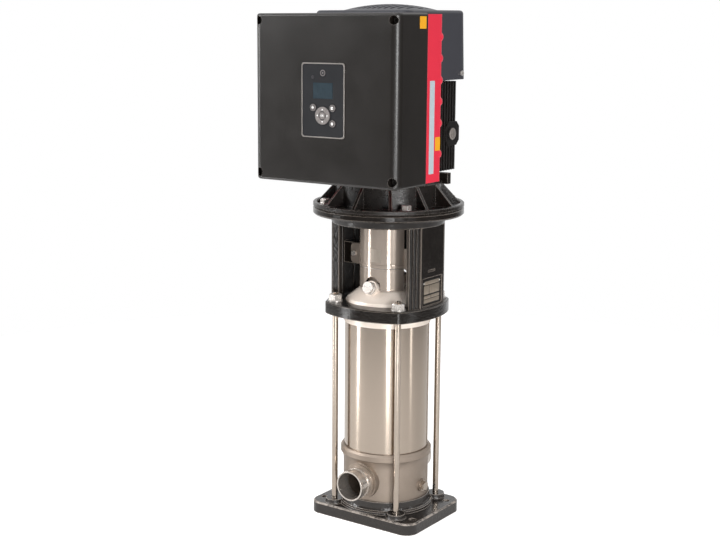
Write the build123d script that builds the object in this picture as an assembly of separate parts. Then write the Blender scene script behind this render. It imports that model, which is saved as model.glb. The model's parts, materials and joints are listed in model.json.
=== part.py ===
from build123d import *
import math
import os

os.makedirs("parts", exist_ok=True)

# Vertical multistage in-line pump with a variable-speed motor.
# Millimetres. +Z is up, the origin is the centre of the base plate's underside,
# the ports lie along Y (inlet at -Y) and the control box faces -Y.

# ---- driving dimensions: base and tie rods ----
PLATE_X = 248.0
PLATE_Y = 199.0
PLATE_T = 24.0
PLATE_CORNER_R = 26.0
FOUNDATION_X = 215.0
FOUNDATION_Y = 130.0
FOUNDATION_HOLE_R = 6.75
ROD_OFFSET = 75.0
ROD_R = 6.0
ROD_HOLE_R = 6.5
ROD_FOOT_Z = 8.0
ROD_BOSS_R = 19.0
ROD_BOSS_Z = 33.0
ROD_STICK_OUT = 17.0
ROD_WASHER_R = 14.5
ROD_WASHER_T = 2.5
ROD_NUT_AF = 24.0
ROD_NUT_H = 11.5
SEAT_Z = 26.0
SEAT_COLLAR_R = 91.0
SEAT_COLLAR_Z = 48.0

# ---- driving dimensions: pump base and ports ----
BASE_R = 86.5
BASE_WALL = 4.0
BASE_RIM_R = 92.3
BASE_TOP_Z = 146.0
PORT_Z = 88.0
PORT_END = 130.5
PORT_R = 30.15
PORT_BORE_R = 27.35
GROOVE_R = 28.6
GROOVE_START = 16.0
GROOVE_WIDTH = 9.0
DRAIN_Z = 72.0

# ---- driving dimensions: sleeve, stages and head ----
SLEEVE_R = 85.5
SLEEVE_WALL = 2.5
SLEEVE_Z0 = 136.2
SLEEVE_Z1 = 411.8
STAGES = 6
STAGE_PITCH = 45.0
STACK_Z = 124.5
CHAMBER_R = 68.0
IMPELLER_R = 55.0
EYE_R = 24.0
HUB_R = 13.0
BLADE_T = 2.0
PUMP_SHAFT_R = 8.0
HEAD_COLLAR_R = 87.2
HEAD_COLLAR_Z0 = 404.0
HEAD_BODY_R = 83.5
VENT_AXIS = Pos(0, -58, 477) * Rot(72, 0, 0)

# ---- driving dimensions: motor stool and coupling ----
STOOL_Z0 = 422.0
STOOL_FOOT_T = 24.0
STOOL_SIDE_X = 114.0
STOOL_SIDE_R = 180.0
STOOL_CORNER_R = 20.0
STOOL_R = 113.0
STOOL_INNER_R = 98.0
STOOL_WALL_HALF_ANGLE = 35.0
STOOL_FLUTE_DEPTH = 2.5
STOOL_PAD_X = 105.0
STOOL_PAD_HALF_ANGLE = 22.0
STOOL_RECESS_Y = 36.0
STOOL_RECESS_Z = (449.0, 503.5)
STOOL_SLOT_Y = (-16.5, 9.5)
STOOL_SLOT_Z = (515.8, 518.4)
WINDOW_TOP_Z = 604.5
FLANGE_R = 150.0
STOOL_TOP_Z = 636.0
STOOL_FLANGE_T = 14.0
GUARD_R = 56.0
GUARD_T = 1.5
GUARD_Z0 = 473.5
GUARD_Z1 = 607.0
GUARD_BEAD_Z = 523.0
GUARD_EDGE_Y = 20.4
COUPLING_R = 42.0
COUPLING_Z0 = 512.0
COUPLING_Z1 = 600.0

# ---- driving dimensions: motor ----
MOTOR_FLANGE_T = 10.0
FLANGE_LIP_R = 142.0
FLANGE_LIP_H = 2.5
FLANGE_GROOVE = 2.0
FLANGE_PCD_R = 128.0
FLANGE_BOLT_TURN = 3.5
FLANGE_BOLT_R = 6.0
FLANGE_TAP_Z = 625.0
GUSSET_TURN = 5.0
GUSSET_T = 6.0
GUSSET_TOP_Z = 686.0
NECK_R = 106.0
NECK_TOP_R = 98.0
NECK_TOP_Z = 708.5
HOUSING_HALF = 100.0
HOUSING_CORNER_R = 20.0
HOUSING_TOP_Z = 882.0
FIN_PITCH = 10.0
FIN_GAP = 5.6
FIN_DEPTH = 10.0
FIN_COUNT = 8
SIDE_PLUG_Y = 66.0
SIDE_PLUG_Z = 780.0
SIDE_PAD_X = 102.5
STATOR_BORE_R = 80.0
ROTOR_R = 51.0
MOTOR_SHAFT_R = 19.0
FAN_SHAFT_R = 16.0
BEARING_Z = (658.0, 864.0)
BEARING_W = 18.0
BEARING_IN = (MOTOR_SHAFT_R, FAN_SHAFT_R)
HOOD_Z0 = 886.0
HOOD_Z1 = 1019.0
HOOD_HALF = 112.5
HOOD_CORNER_R = 26.0
HOOD_WALL = 2.5
HOOD_TAPER = 1.6
DOME_R = 92.0
DOME_RISE = 12.0
HOOD_SCREW_Y = (-52.0, 84.0)
HOOD_SCREW_Z = 898.0

# ---- driving dimensions: control box ----
BOX_HALF_X = 162.5
BOX_FRONT_Y = -221.0
BOX_SPLIT_Y = -123.0
BOX_BACK_Y = -71.0
BOX_Z0 = 700.0
BOX_Z1 = 1013.0
BOX_WALL = 4.0
BOX_EDGE_R = 16.0
FRAME_Z0 = 704.0
FRAME_Z1 = 1011.0
PANEL_Z = 855.0
PANEL_X = 97.0
PANEL_H = 137.0
COVER_SCREW_X = 151.0
COVER_SCREW_Z = (714.0, 1000.0)
COVER_RECESS_R = 8.0
COVER_RECESS_DEPTH = 16.0
CABLE_ENTRY_X = (-60.0, 0.0, 60.0)
CABLE_ENTRY_Y = -160.0
KNUCKLE_R = 11.0
KNUCKLE_Z = (755.0, 812.0, 852.0, 891.0, 931.0, 970.0)


def save(name, shape):
    """Write one named sub-part."""
    export_step(shape, f"parts/{name}.step")


def cyl(radius, z0, z1, x=0.0, y=0.0):
    """Upright cylinder between two heights."""
    return Pos(x, y, (z0 + z1) / 2) * Cylinder(radius, z1 - z0)


def ring(r_out, r_in, z0, z1):
    """Upright ring between two heights."""
    return cyl(r_out, z0, z1) - cyl(r_in, z0 - 1, z1 + 1)


def rod_y(radius, y0, y1, x=0.0, z=0.0):
    """Cylinder along Y."""
    return Pos(x, (y0 + y1) / 2, z) * Rot(90, 0, 0) * Cylinder(radius, y1 - y0)


def rod_x(radius, x0, x1, y=0.0, z=0.0):
    """Cylinder along X."""
    return Pos((x0 + x1) / 2, y, z) * Rot(0, 90, 0) * Cylinder(radius, x1 - x0)


def block(x0, x1, y0, y1, z0, z1):
    """Box from its corners."""
    centre = Pos((x0 + x1) / 2, (y0 + y1) / 2, (z0 + z1) / 2)
    return centre * Box(x1 - x0, y1 - y0, z1 - z0)


def plate(sketch, z0, z1):
    """Flat outline raised to a plate between two heights."""
    return extrude(Pos(0, 0, z0) * sketch, z1 - z0)


def spun(points):
    """Solid of revolution about Z from (radius, height) points."""
    outline = make_face(Plane.XZ * Polyline(*points, close=True))
    return revolve(outline, Axis.Z)


def hexagon(across_flats, z0, z1, x=0.0, y=0.0):
    """Upright hexagonal prism."""
    outline = RegularPolygon(across_flats / 2, 6, major_radius=False)
    return plate(Pos(x, y) * outline, z0, z1)


def hex_head(across_flats, z0, z1):
    """Hexagon whose upper corners are turned off by a 30 degree cone."""
    flat_r = across_flats / 2
    corner_r = flat_r / math.cos(math.pi / 6)
    fall = (corner_r - flat_r * 0.94) * math.tan(math.pi / 6)
    cone = spun([(0, z0), (corner_r, z0), (corner_r, z1 - fall), (flat_r * 0.94, z1), (0, z1)])
    return hexagon(across_flats, z0, z1) & cone


def around(shape, angles):
    """Copies of a shape turned about Z."""
    return [Rot(0, 0, angle) * shape for angle in angles]


def group(shapes):
    """Separate solids that share one node."""
    return Compound(children=[solid for shape in shapes for solid in shape.solids()])


CORNERS = [(sx, sy) for sx in (-1, 1) for sy in (-1, 1)]


# ---------------------------------------------------------------- base plate
def make_base_plate():
    """Cast plate: raised seat collar, four rod bosses, ribbed underside."""
    outline = RectangleRounded(PLATE_X, PLATE_Y, PLATE_CORNER_R)
    body = plate(outline, 0, PLATE_T)
    body = chamfer(body.faces().sort_by(Axis.Z)[-1].edges(), 2.5)
    collar = spun([(0, PLATE_T - 2), (96.5, PLATE_T - 2), (96, 29), (SEAT_COLLAR_R + 1.5, 31),
                   (SEAT_COLLAR_R, 36), (SEAT_COLLAR_R - 1, SEAT_COLLAR_Z), (0, SEAT_COLLAR_Z)])
    body += collar
    for sx, sy in CORNERS:
        foot = spun([(0, PLATE_T - 2), (ROD_BOSS_R + 2, PLATE_T - 2), (ROD_BOSS_R, PLATE_T + 2),
                     (ROD_BOSS_R - 1, ROD_BOSS_Z), (0, ROD_BOSS_Z)])
        body += Pos(sx * ROD_OFFSET, sy * ROD_OFFSET, 0) * foot
    body -= cyl(BASE_R + 0.3, SEAT_Z, SEAT_COLLAR_Z + 1)
    pocket_depth = 10.0
    wall = 14.0
    rib = 10.0
    pocket = plate(RectangleRounded(PLATE_X - 2 * wall, PLATE_Y - 2 * wall, 14), -1, pocket_depth)
    pocket -= block(-PLATE_X / 2, PLATE_X / 2, -rib / 2, rib / 2, -2, pocket_depth + 1)
    pocket -= block(-rib / 2, rib / 2, -PLATE_Y / 2, PLATE_Y / 2, -2, pocket_depth + 1)
    pocket -= ring(60, 50, -2, pocket_depth + 1)
    for sx, sy in CORNERS:
        pocket -= cyl(16, -2, pocket_depth + 1, sx * ROD_OFFSET, sy * ROD_OFFSET)
        pocket -= cyl(16, -2, pocket_depth + 1, sx * FOUNDATION_X / 2, sy * FOUNDATION_Y / 2)
    body -= pocket
    for sx, sy in CORNERS:
        body -= cyl(FOUNDATION_HOLE_R, -1, PLATE_T + 8, sx * FOUNDATION_X / 2, sy * FOUNDATION_Y / 2)
        body -= cyl(ROD_R + 0.05, ROD_FOOT_Z, ROD_BOSS_Z + 1, sx * ROD_OFFSET, sy * ROD_OFFSET)
    return body


# ----------------------------------------------------------------- pump base
def make_port(direction, inner_end):
    """Grooved pipe stub with its boss, along +Y or -Y."""
    body = rod_y(PORT_R, inner_end, PORT_END)
    body += rod_y(37, 70, 91)
    body += rod_y(33.5, 90, 95)
    groove = rod_y(PORT_R + 1, PORT_END - GROOVE_START - GROOVE_WIDTH, PORT_END - GROOVE_START)
    groove -= rod_y(GROOVE_R, 90, PORT_END)
    body -= groove
    turned = body if direction > 0 else Rot(0, 0, 180) * body
    return Pos(0, 0, PORT_Z) * turned


def make_pump_base():
    """Hollow base: outer shell, inner suction tube and two in-line ports."""
    inner_r = BASE_R - BASE_WALL
    tube_r = 62.0
    tube_in = 58.0
    floor = SEAT_Z + 4
    with BuildSketch(Plane.XZ) as profile:
        with BuildLine():
            Polyline((0, SEAT_Z), (BASE_R - 2, SEAT_Z), (BASE_R, SEAT_Z + 2), (BASE_R, 114))
            ThreePointArc((BASE_R, 114), (87.6, 122.5), (90.4, 129.5))
            Polyline((90.4, 129.5), (BASE_RIM_R, 131.5), (BASE_RIM_R, 141.5), (89, BASE_TOP_Z),
                     (SLEEVE_R + 0.2, BASE_TOP_Z), (SLEEVE_R + 0.2, 136), (inner_r, 136),
                     (inner_r, floor), (tube_r, floor), (tube_r, STACK_Z - 0.5),
                     (tube_in, STACK_Z - 0.5), (tube_in, floor), (0, floor), (0, SEAT_Z))
        make_face()
    body = revolve(profile.sketch, Axis.Z)
    outlet = make_port(1, inner_r - 4) - cyl(inner_r - 0.01, 0, 200)
    inlet = make_port(-1, tube_r - 5)
    inlet_keep = cyl(inner_r - 0.01, 0, 200) - rod_y(PORT_R, -PORT_END, 0, z=PORT_Z)
    inlet = (inlet - inlet_keep) - cyl(tube_in, 0, 200)
    body = body + outlet + inlet
    body -= rod_y(PORT_BORE_R, inner_r - 12, PORT_END + 1, z=PORT_Z)
    body -= rod_y(PORT_BORE_R, -PORT_END - 1, -tube_in + 12, z=PORT_Z)
    body += rod_x(13, BASE_R - 3.5, BASE_R + 3.5, z=DRAIN_Z)
    body -= rod_x(8.05, BASE_R - 8, BASE_R + 5, z=DRAIN_Z)
    return body


def make_drain_plug():
    """Screwed drain plug with a hexagon head."""
    plug = rod_x(8, BASE_R - 4, BASE_R + 3.6, z=DRAIN_Z)
    plug += rod_x(11, BASE_R + 3.55, BASE_R + 5.5, z=DRAIN_Z)
    head = Rot(0, 90, 0) * hex_head(17, 0, 6)
    return plug + Pos(BASE_R + 5.4, 0, DRAIN_Z) * head


# ----------------------------------------------------------- sleeve and rods
def make_sleeve_seals():
    """Flat sealing rings under and over the outer sleeve."""
    low = ring(SLEEVE_R - 0.1, SLEEVE_R - SLEEVE_WALL + 0.1, 136.02, SLEEVE_Z0)
    high = ring(SLEEVE_R - 0.1, SLEEVE_R - SLEEVE_WALL + 0.1, SLEEVE_Z1, 411.98)
    return group([low, high])


def make_tie_rods():
    """Four stay bolts from the base plate to the stool's foot."""
    top = STOOL_Z0 + STOOL_FOOT_T + ROD_STICK_OUT
    rod = cyl(ROD_R, ROD_FOOT_Z + 0.5, top)
    rod = chamfer(rod.faces().sort_by(Axis.Z)[-1].edges(), 1)
    return group([Pos(sx * ROD_OFFSET, sy * ROD_OFFSET, 0) * rod for sx, sy in CORNERS])


def make_rod_washers():
    """Plain washers under the rod nuts."""
    z0 = STOOL_Z0 + STOOL_FOOT_T
    washer = ring(ROD_WASHER_R, ROD_R + 0.1, z0, z0 + ROD_WASHER_T)
    return group([Pos(sx * ROD_OFFSET, sy * ROD_OFFSET, 0) * washer for sx, sy in CORNERS])


def make_rod_nuts():
    """Hexagon nuts that clamp the pump between the plate and the stool."""
    z0 = STOOL_Z0 + STOOL_FOOT_T + ROD_WASHER_T
    nut = hex_head(ROD_NUT_AF, z0, z0 + ROD_NUT_H) - cyl(ROD_R + 0.05, z0 - 1, z0 + 14)
    return group([Pos(sx * ROD_OFFSET, sy * ROD_OFFSET, 0) * nut for sx, sy in CORNERS])


# ---------------------------------------------------------------- pump stages
def make_chamber():
    """One stage chamber at height zero: cup, guide plate and return vanes."""
    wall_in = CHAMBER_R - 2
    cup = spun([(31, 0), (CHAMBER_R, 0), (CHAMBER_R, STAGE_PITCH - 0.05),
                (wall_in, STAGE_PITCH - 0.05), (wall_in, 2), (31, 2)])
    guide = ring(60, HUB_R + 1.5, 24, 26)
    vane = Pos(42.2, 0, 34) * Rot(0, 0, 12) * Box(48, 2, 16.05)
    vanes = [part - cyl(18, 20, 44) for part in around(vane, range(0, 360, 60))]
    body = cup + guide
    for part in vanes:
        body += part & cyl(CHAMBER_R - 1, 24, 44)
    return body


def make_stage_chambers():
    """The stack of stage chambers."""
    chamber = make_chamber()
    return group([Pos(0, 0, STACK_Z + i * STAGE_PITCH) * chamber for i in range(STAGES)])


def make_neck_rings():
    """Wear rings round each impeller's eye."""
    neck = ring(30.9, EYE_R + 3.4, 0, 3)
    return group([Pos(0, 0, STACK_Z + i * STAGE_PITCH) * neck for i in range(STAGES)])


def make_impeller():
    """Closed impeller at its stage's height zero: two shrouds and six curved blades."""
    lower = spun([(EYE_R, 0.5), (EYE_R + 2.8, 0.5), (EYE_R + 2.8, 5), (IMPELLER_R, 7),
                  (IMPELLER_R, 9), (EYE_R, 7)])
    upper = spun([(PUMP_SHAFT_R + 0.05, 0.5), (HUB_R, 0.5), (HUB_R, 14), (IMPELLER_R, 17),
                  (IMPELLER_R, 19), (HUB_R, 19), (HUB_R, STAGE_PITCH - 0.3),
                  (PUMP_SHAFT_R + 0.05, STAGE_PITCH - 0.3)])
    sweep_r = 46.0
    band = ring(sweep_r, sweep_r - BLADE_T, 6.6, 17.6)
    blade = Pos(EYE_R + 2.5, -sweep_r + 1, 0) * band
    blade &= ring(IMPELLER_R - 0.6, EYE_R + 1.5, 6, 18) & block(0, 60, -4, 60, 6, 18)
    body = lower + upper
    for part in around(blade, range(0, 360, 60)):
        body += part
    return body


def make_shaft_bush():
    """Bearing bush that steadies the pump shaft over the last stage."""
    z0 = STACK_Z + STAGES * STAGE_PITCH
    return spun([(PUMP_SHAFT_R + 0.06, z0 + 0.5), (HUB_R - 1, z0 + 0.5), (HUB_R + 2, z0 + 0.5),
                 (CHAMBER_R, z0 + 0.5), (CHAMBER_R, z0 + 4), (HUB_R + 2, z0 + 4),
                 (HUB_R, z0 + 14), (PUMP_SHAFT_R + 0.06, z0 + 14)])


def make_shaft_nut():
    """Lock nut that holds the impellers on the shaft."""
    z0 = STACK_Z - 12
    return hexagon(22, z0, z0 + 12) - cyl(PUMP_SHAFT_R + 0.05, z0 - 1, z0 + 14)


def make_pump_shaft():
    """Pump shaft from below the first impeller into the coupling."""
    shaft = cyl(PUMP_SHAFT_R, 100, 554)
    return chamfer(shaft.edges(), 1)


# ------------------------------------------------------------- head and seal
def make_pump_head():
    """Domed head with the seal housing and the vent boss."""
    body = spun([(HEAD_COLLAR_R, HEAD_COLLAR_Z0), (HEAD_COLLAR_R, STOOL_Z0 - 0.1),
                 (HEAD_BODY_R, STOOL_Z0 - 0.1), (HEAD_BODY_R, 447), (81, 452), (57, 470),
                 (49, 474), (38, 476), (38, 500), (24, 500), (24, 474), (13, 474), (13, 468),
                 (48, 467), (76, 446), (80, 440), (80, 412), (SLEEVE_R + 0.2, 412),
                 (SLEEVE_R + 0.2, HEAD_COLLAR_Z0)])
    boss = VENT_AXIS * cyl(15, -18, 3)
    body += boss - spun([(0, 380), (76, 380), (76, 446), (48, 467), (0, 468)])
    body -= VENT_AXIS * cyl(8.05, -30, 10)
    return body


def make_vent_plug():
    """Vent plug: stem, hexagon and round knob with a screwdriver slot."""
    body = cyl(8, -14, 3.2) + hex_head(24, 3.1, 9) + cyl(11.5, 8.9, 15)
    body -= block(-12, 12, -1, 1, 13.5, 16)
    return VENT_AXIS * body


def make_seal_seat():
    """Fixed seat of the shaft seal, pressed in the head."""
    return ring(23.9, 11, 474.1, 480)


def make_seal_rotor():
    """Turning part of the shaft seal on the pump shaft."""
    return spun([(PUMP_SHAFT_R + 0.05, 480.3), (15, 480.3), (15, 486), (19, 486), (19, 506),
                 (PUMP_SHAFT_R + 0.05, 506)])


# --------------------------------------------------------------- motor stool
def stool_foot_outline():
    """Square foot with bowed sides and round corners."""
    shift = STOOL_SIDE_R - STOOL_SIDE_X
    outline = Circle(STOOL_SIDE_R)
    outline = Pos(-shift, 0) * outline & Pos(shift, 0) * Circle(STOOL_SIDE_R)
    outline = outline & Pos(0, shift) * Circle(STOOL_SIDE_R) & Pos(0, -shift) * Circle(STOOL_SIDE_R)
    return fillet(outline.vertices(), STOOL_CORNER_R)


def sector(r_out, r_in, half_angle, z0, z1):
    """Ring sector centred on +X."""
    reach = r_out * 2
    edge = math.radians(half_angle)
    tip = (reach * math.cos(edge), reach * math.sin(edge))
    wedge = make_face(Polyline((0, 0), tip, (reach * 2, 0), (tip[0], -tip[1]), close=True))
    return ring(r_out, r_in, z0, z1) & plate(wedge, z0 - 1, z1 + 1)


def make_stool_wall():
    """One side wall of the stool at +X: flat pad between flutes, with a name-plate recess."""
    z0 = STOOL_Z0 + STOOL_FOOT_T - 1
    z1 = WINDOW_TOP_Z + 1
    wall = sector(STOOL_R - STOOL_FLUTE_DEPTH, STOOL_INNER_R, STOOL_WALL_HALF_ANGLE, z0, z1)
    wall += sector(STOOL_R, STOOL_INNER_R + 2, STOOL_PAD_HALF_ANGLE, z0, z1)
    outer_r = 4.2
    inner_r = 4.0
    for side in (-1, 1):
        for angle in (24.6, 28.6, 32.6):
            wall += Rot(0, 0, side * angle) * cyl(outer_r, z0, z1, STOOL_R - outer_r - 0.2)
        for angle in (13, 22, 31):
            wall += Rot(0, 0, side * angle) * cyl(inner_r, z0, z1, STOOL_INNER_R + 0.5)
    wall &= block(0, STOOL_PAD_X, -STOOL_R, STOOL_R, z0, z1)
    depth = 2.0
    wall -= block(STOOL_PAD_X - depth, STOOL_PAD_X + 1, -STOOL_RECESS_Y, STOOL_RECESS_Y, *STOOL_RECESS_Z)
    wall -= block(STOOL_PAD_X - 3, STOOL_PAD_X + 1, *STOOL_SLOT_Y, *STOOL_SLOT_Z)
    return wall


def make_motor_stool():
    """Cast stool: bowed foot, two fluted walls, neck and round flange."""
    z_foot = STOOL_Z0 + STOOL_FOOT_T
    foot = plate(stool_foot_outline(), STOOL_Z0, z_foot)
    foot = chamfer(foot.faces().sort_by(Axis.Z)[-1].edges(), 2)
    foot -= cyl(HEAD_BODY_R + 0.4, STOOL_Z0 - 1, z_foot + 1)
    body = foot
    for turn in (0, 180):
        body += Rot(0, 0, turn) * make_stool_wall()
        lug = block(57, STOOL_INNER_R + 3, -18.7, 18.7, 515, 558)
        body += Rot(0, 0, turn) * lug
    under = STOOL_TOP_Z - STOOL_FLANGE_T
    neck = spun([(STOOL_INNER_R, WINDOW_TOP_Z), (STOOL_R - 1.5, WINDOW_TOP_Z),
                 (STOOL_R, WINDOW_TOP_Z + 1.5), (STOOL_R + 2, 614), (STOOL_R + 5, under), (FLANGE_R - 3, under), (FLANGE_R, under + 3),
                 (FLANGE_R, STOOL_TOP_Z - FLANGE_GROOVE), (FLANGE_R - FLANGE_GROOVE, STOOL_TOP_Z),
                 (STOOL_INNER_R, STOOL_TOP_Z)])
    body += neck
    for sx, sy in CORNERS:
        body -= cyl(ROD_HOLE_R, STOOL_Z0 - 1, z_foot + 1, sx * ROD_OFFSET, sy * ROD_OFFSET)
    for angle in bolt_angles():
        body -= Rot(0, 0, angle) * cyl(FLANGE_BOLT_R + 0.05, FLANGE_TAP_Z, 640, FLANGE_PCD_R)
    for side in (-1, 1):
        for turn in (0, 180):
            body -= Rot(0, 0, turn) * rod_y(2.05, 8, 19, x=side * 68, z=536)
    return body


def bolt_angles():
    """Directions of the four flange bolts."""
    return [45 + FLANGE_BOLT_TURN + 90 * i for i in range(4)]


def make_guard(turn):
    """Sheet guard round the coupling, with a bead, two fixing tabs and an arch."""
    half = 180 - math.degrees(math.acos(-GUARD_EDGE_Y / GUARD_R))
    shell = sector(GUARD_R, GUARD_R - GUARD_T, half, GUARD_Z0, GUARD_Z1)
    bead = sector(GUARD_R + 1.6, GUARD_R - 0.5, half, GUARD_BEAD_Z - 1.6, GUARD_BEAD_Z + 1.6)
    body = Rot(0, 0, -90) * (shell + bead)
    for side in (-1, 1):
        near = side * 51.0
        far = side * 76.0
        tab = block(min(near, far), max(near, far), -GUARD_EDGE_Y, -GUARD_EDGE_Y + GUARD_T, 516, 557)
        body += fillet(tab.edges().filter_by(Axis.Y).group_by(Axis.X)[0 if side < 0 else -1], 9)
        body -= rod_y(2.6, -26, -15, x=side * 68, z=536)
    body -= rod_y(18, -70, -30, z=482)
    return Rot(0, 0, turn) * body


def make_guard_screws():
    """Pan-head screws that fix both guards to the stool."""
    screws = []
    for turn in (0, 180):
        for side in (-1, 1):
            screw = rod_y(2, -GUARD_EDGE_Y, -9, x=side * 68, z=536)
            screw += rod_y(5, -GUARD_EDGE_Y - 3.5, -GUARD_EDGE_Y, x=side * 68, z=536)
            screws.append(Rot(0, 0, turn) * screw)
    return group(screws)


# ------------------------------------------------------------------ coupling
def make_coupling_half(turn):
    """Half of the split shaft coupling."""
    body = ring(COUPLING_R, PUMP_SHAFT_R + 0.05, COUPLING_Z0, COUPLING_Z1)
    body -= cyl(MOTOR_SHAFT_R + 0.05, 556, COUPLING_Z1 + 1)
    body = chamfer(body.edges().filter_by(GeomType.CIRCLE).group_by(SortBy.RADIUS)[-1], 3)
    body &= block(-60, 60, -60, -1, 500, 610)
    for x in (-30, 30):
        for z in (526, 586):
            body -= rod_y(4.05, -60, 0, x=x, z=z)
            body -= rod_y(7.2, -60, -22, x=x, z=z)
    return Rot(0, 0, turn) * body


def make_coupling_screws():
    """Socket screws that clamp the coupling's halves."""
    screws = []
    for x in (-30, 30):
        for z in (526, 586):
            screw = rod_y(4, -22, 21.5, x=x, z=z) + rod_y(6.5, -29.5, -22, x=x, z=z)
            screws.append(screw)
    return group(screws)


# --------------------------------------------------------------------- motor
def make_motor_flange():
    """Drive-end shield: lipped bolt flange, hollow neck, gussets, earth lug and bearing seat."""
    z0 = STOOL_TOP_Z + 0.6
    z1 = STOOL_TOP_Z + MOTOR_FLANGE_T
    seat = z1 - FLANGE_LIP_H
    body = spun([(24, z0), (FLANGE_R - FLANGE_GROOVE, z0), (FLANGE_R, z0 + FLANGE_GROOVE),
                 (FLANGE_R, z1 - 1.5), (FLANGE_R - 1.5, z1), (FLANGE_LIP_R + 1, z1), (FLANGE_LIP_R, seat),
                 (NECK_R, seat), (NECK_R - 1, GUSSET_TOP_Z), (NECK_TOP_R, GUSSET_TOP_Z + 5),
                 (NECK_TOP_R, NECK_TOP_Z), (NECK_TOP_R - 6, NECK_TOP_Z), (NECK_TOP_R - 6, z1 + 2),
                 (46, z1 + 2), (46, 676), (40.1, 676), (40.1, 656), (24, 656)])
    web = make_face(Plane.XZ * Polyline((NECK_R - 2, seat - 1), (FLANGE_LIP_R, seat - 1),
                                        (FLANGE_LIP_R, seat + 1), (NECK_R - 2, GUSSET_TOP_Z), close=True))
    gusset = extrude(web, GUSSET_T / 2, both=True)
    for part in around(gusset, [GUSSET_TURN + 30 * i for i in range(12)]):
        body += part
    body += block(76, 101.5, 57, 69, 681, 703)
    for angle in bolt_angles():
        body -= Rot(0, 0, angle) * cyl(FLANGE_BOLT_R + 0.7, z0 - 1, z1, FLANGE_PCD_R)
    return body


def make_flange_bolts():
    """Flanged bolts that screw the motor down on the stool."""
    seat = STOOL_TOP_Z + MOTOR_FLANGE_T - FLANGE_LIP_H
    bolt = cyl(FLANGE_BOLT_R, FLANGE_TAP_Z + 0.5, seat + 0.1) + cyl(11.5, seat, seat + 2.2)
    bolt += hex_head(18, seat + 2.1, seat + 10.5)
    return group(around(Pos(FLANGE_PCD_R, 0, 0) * bolt, bolt_angles()))


def housing_outline():
    """Square motor frame with fins on three sides and a flat pad at -Y."""
    outline = RectangleRounded(2 * HOUSING_HALF, 2 * HOUSING_HALF, HOUSING_CORNER_R)
    slot = Pos(HOUSING_HALF - FIN_DEPTH / 2 + 1, 0) * Rectangle(FIN_DEPTH + 2, FIN_GAP)
    slots = []
    for i in range(-FIN_COUNT, FIN_COUNT + 1):
        for turn in (0, 90, 180):
            slots.append(Rot(0, 0, turn) * Pos(0, i * FIN_PITCH) * slot)
    return outline - slots - Circle(STATOR_BORE_R)


def make_stator_housing():
    """Finned aluminium frame."""
    body = plate(housing_outline(), NECK_TOP_Z + 0.1, HOUSING_TOP_Z)
    pad = block(HOUSING_HALF - 11, SIDE_PAD_X, 47, 96, 757, 804)
    body += chamfer(pad.edges().filter_by(Axis.X), 10)
    body -= rod_x(8.05, HOUSING_HALF - 10, SIDE_PAD_X + 1, y=SIDE_PLUG_Y, z=SIDE_PLUG_Z)
    return body


def make_stator_core():
    """Laminated stator pack."""
    return ring(STATOR_BORE_R - 0.05, ROTOR_R + 0.8, 720, 850)


def make_stator_windings():
    """End windings over and under the pack."""
    return group([ring(74, 56, 704, 719.9), ring(74, 56, 850.1, 866)])


def make_motor_shaft():
    """Motor shaft from the coupling to the fan."""
    shaft = spun([(0, 556.5), (MOTOR_SHAFT_R - 1, 556.5), (MOTOR_SHAFT_R, 557.5),
                  (MOTOR_SHAFT_R, 680), (24, 680), (24, 862), (FAN_SHAFT_R, 862), (FAN_SHAFT_R, 958),
                  (15, 959), (0, 959)])
    return shaft


def make_rotor_core():
    """Rotor pack on the motor shaft."""
    return ring(ROTOR_R, 24.05, 720, 850)


def make_bearing_outer_rings():
    """Outer rings of both motor bearings, with the sheet shields that close them."""
    rings = []
    for z in BEARING_Z:
        outer = ring(40, 34, z, z + BEARING_W)
        outer += ring(34.5, 27, z + 0.5, z + 1.5) + ring(34.5, 27, z + BEARING_W - 1.5, z + BEARING_W - 0.5)
        rings.append(outer)
    return group(rings)


def make_bearing_inner_rings():
    """Inner rings of both motor bearings."""
    return group([ring(26.5, bore + 0.05, z, z + BEARING_W) for z, bore in zip(BEARING_Z, BEARING_IN)])


def make_upper_end_shield():
    """Non-drive end shield with its bearing seat."""
    return spun([(18, HOUSING_TOP_Z + 2), (18, HOUSING_TOP_Z + 6), (94, HOUSING_TOP_Z + 6),
                 (94, HOUSING_TOP_Z + 0.1), (79, HOUSING_TOP_Z + 0.1), (79, HOUSING_TOP_Z - 6),
                 (46, 872), (46, 864), (40.1, 864), (40.1, HOUSING_TOP_Z + 0.1)])


def make_cooling_fan():
    """Radial fan: hub, disc and straight blades."""
    body = ring(24, 16.05, 905, 945) + ring(88, 20, 905, 908)
    blade = block(22, 86, -1.5, 1.5, 907, 940)
    for part in around(blade, [40 * i for i in range(9)]):
        body += part
    return body


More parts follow.
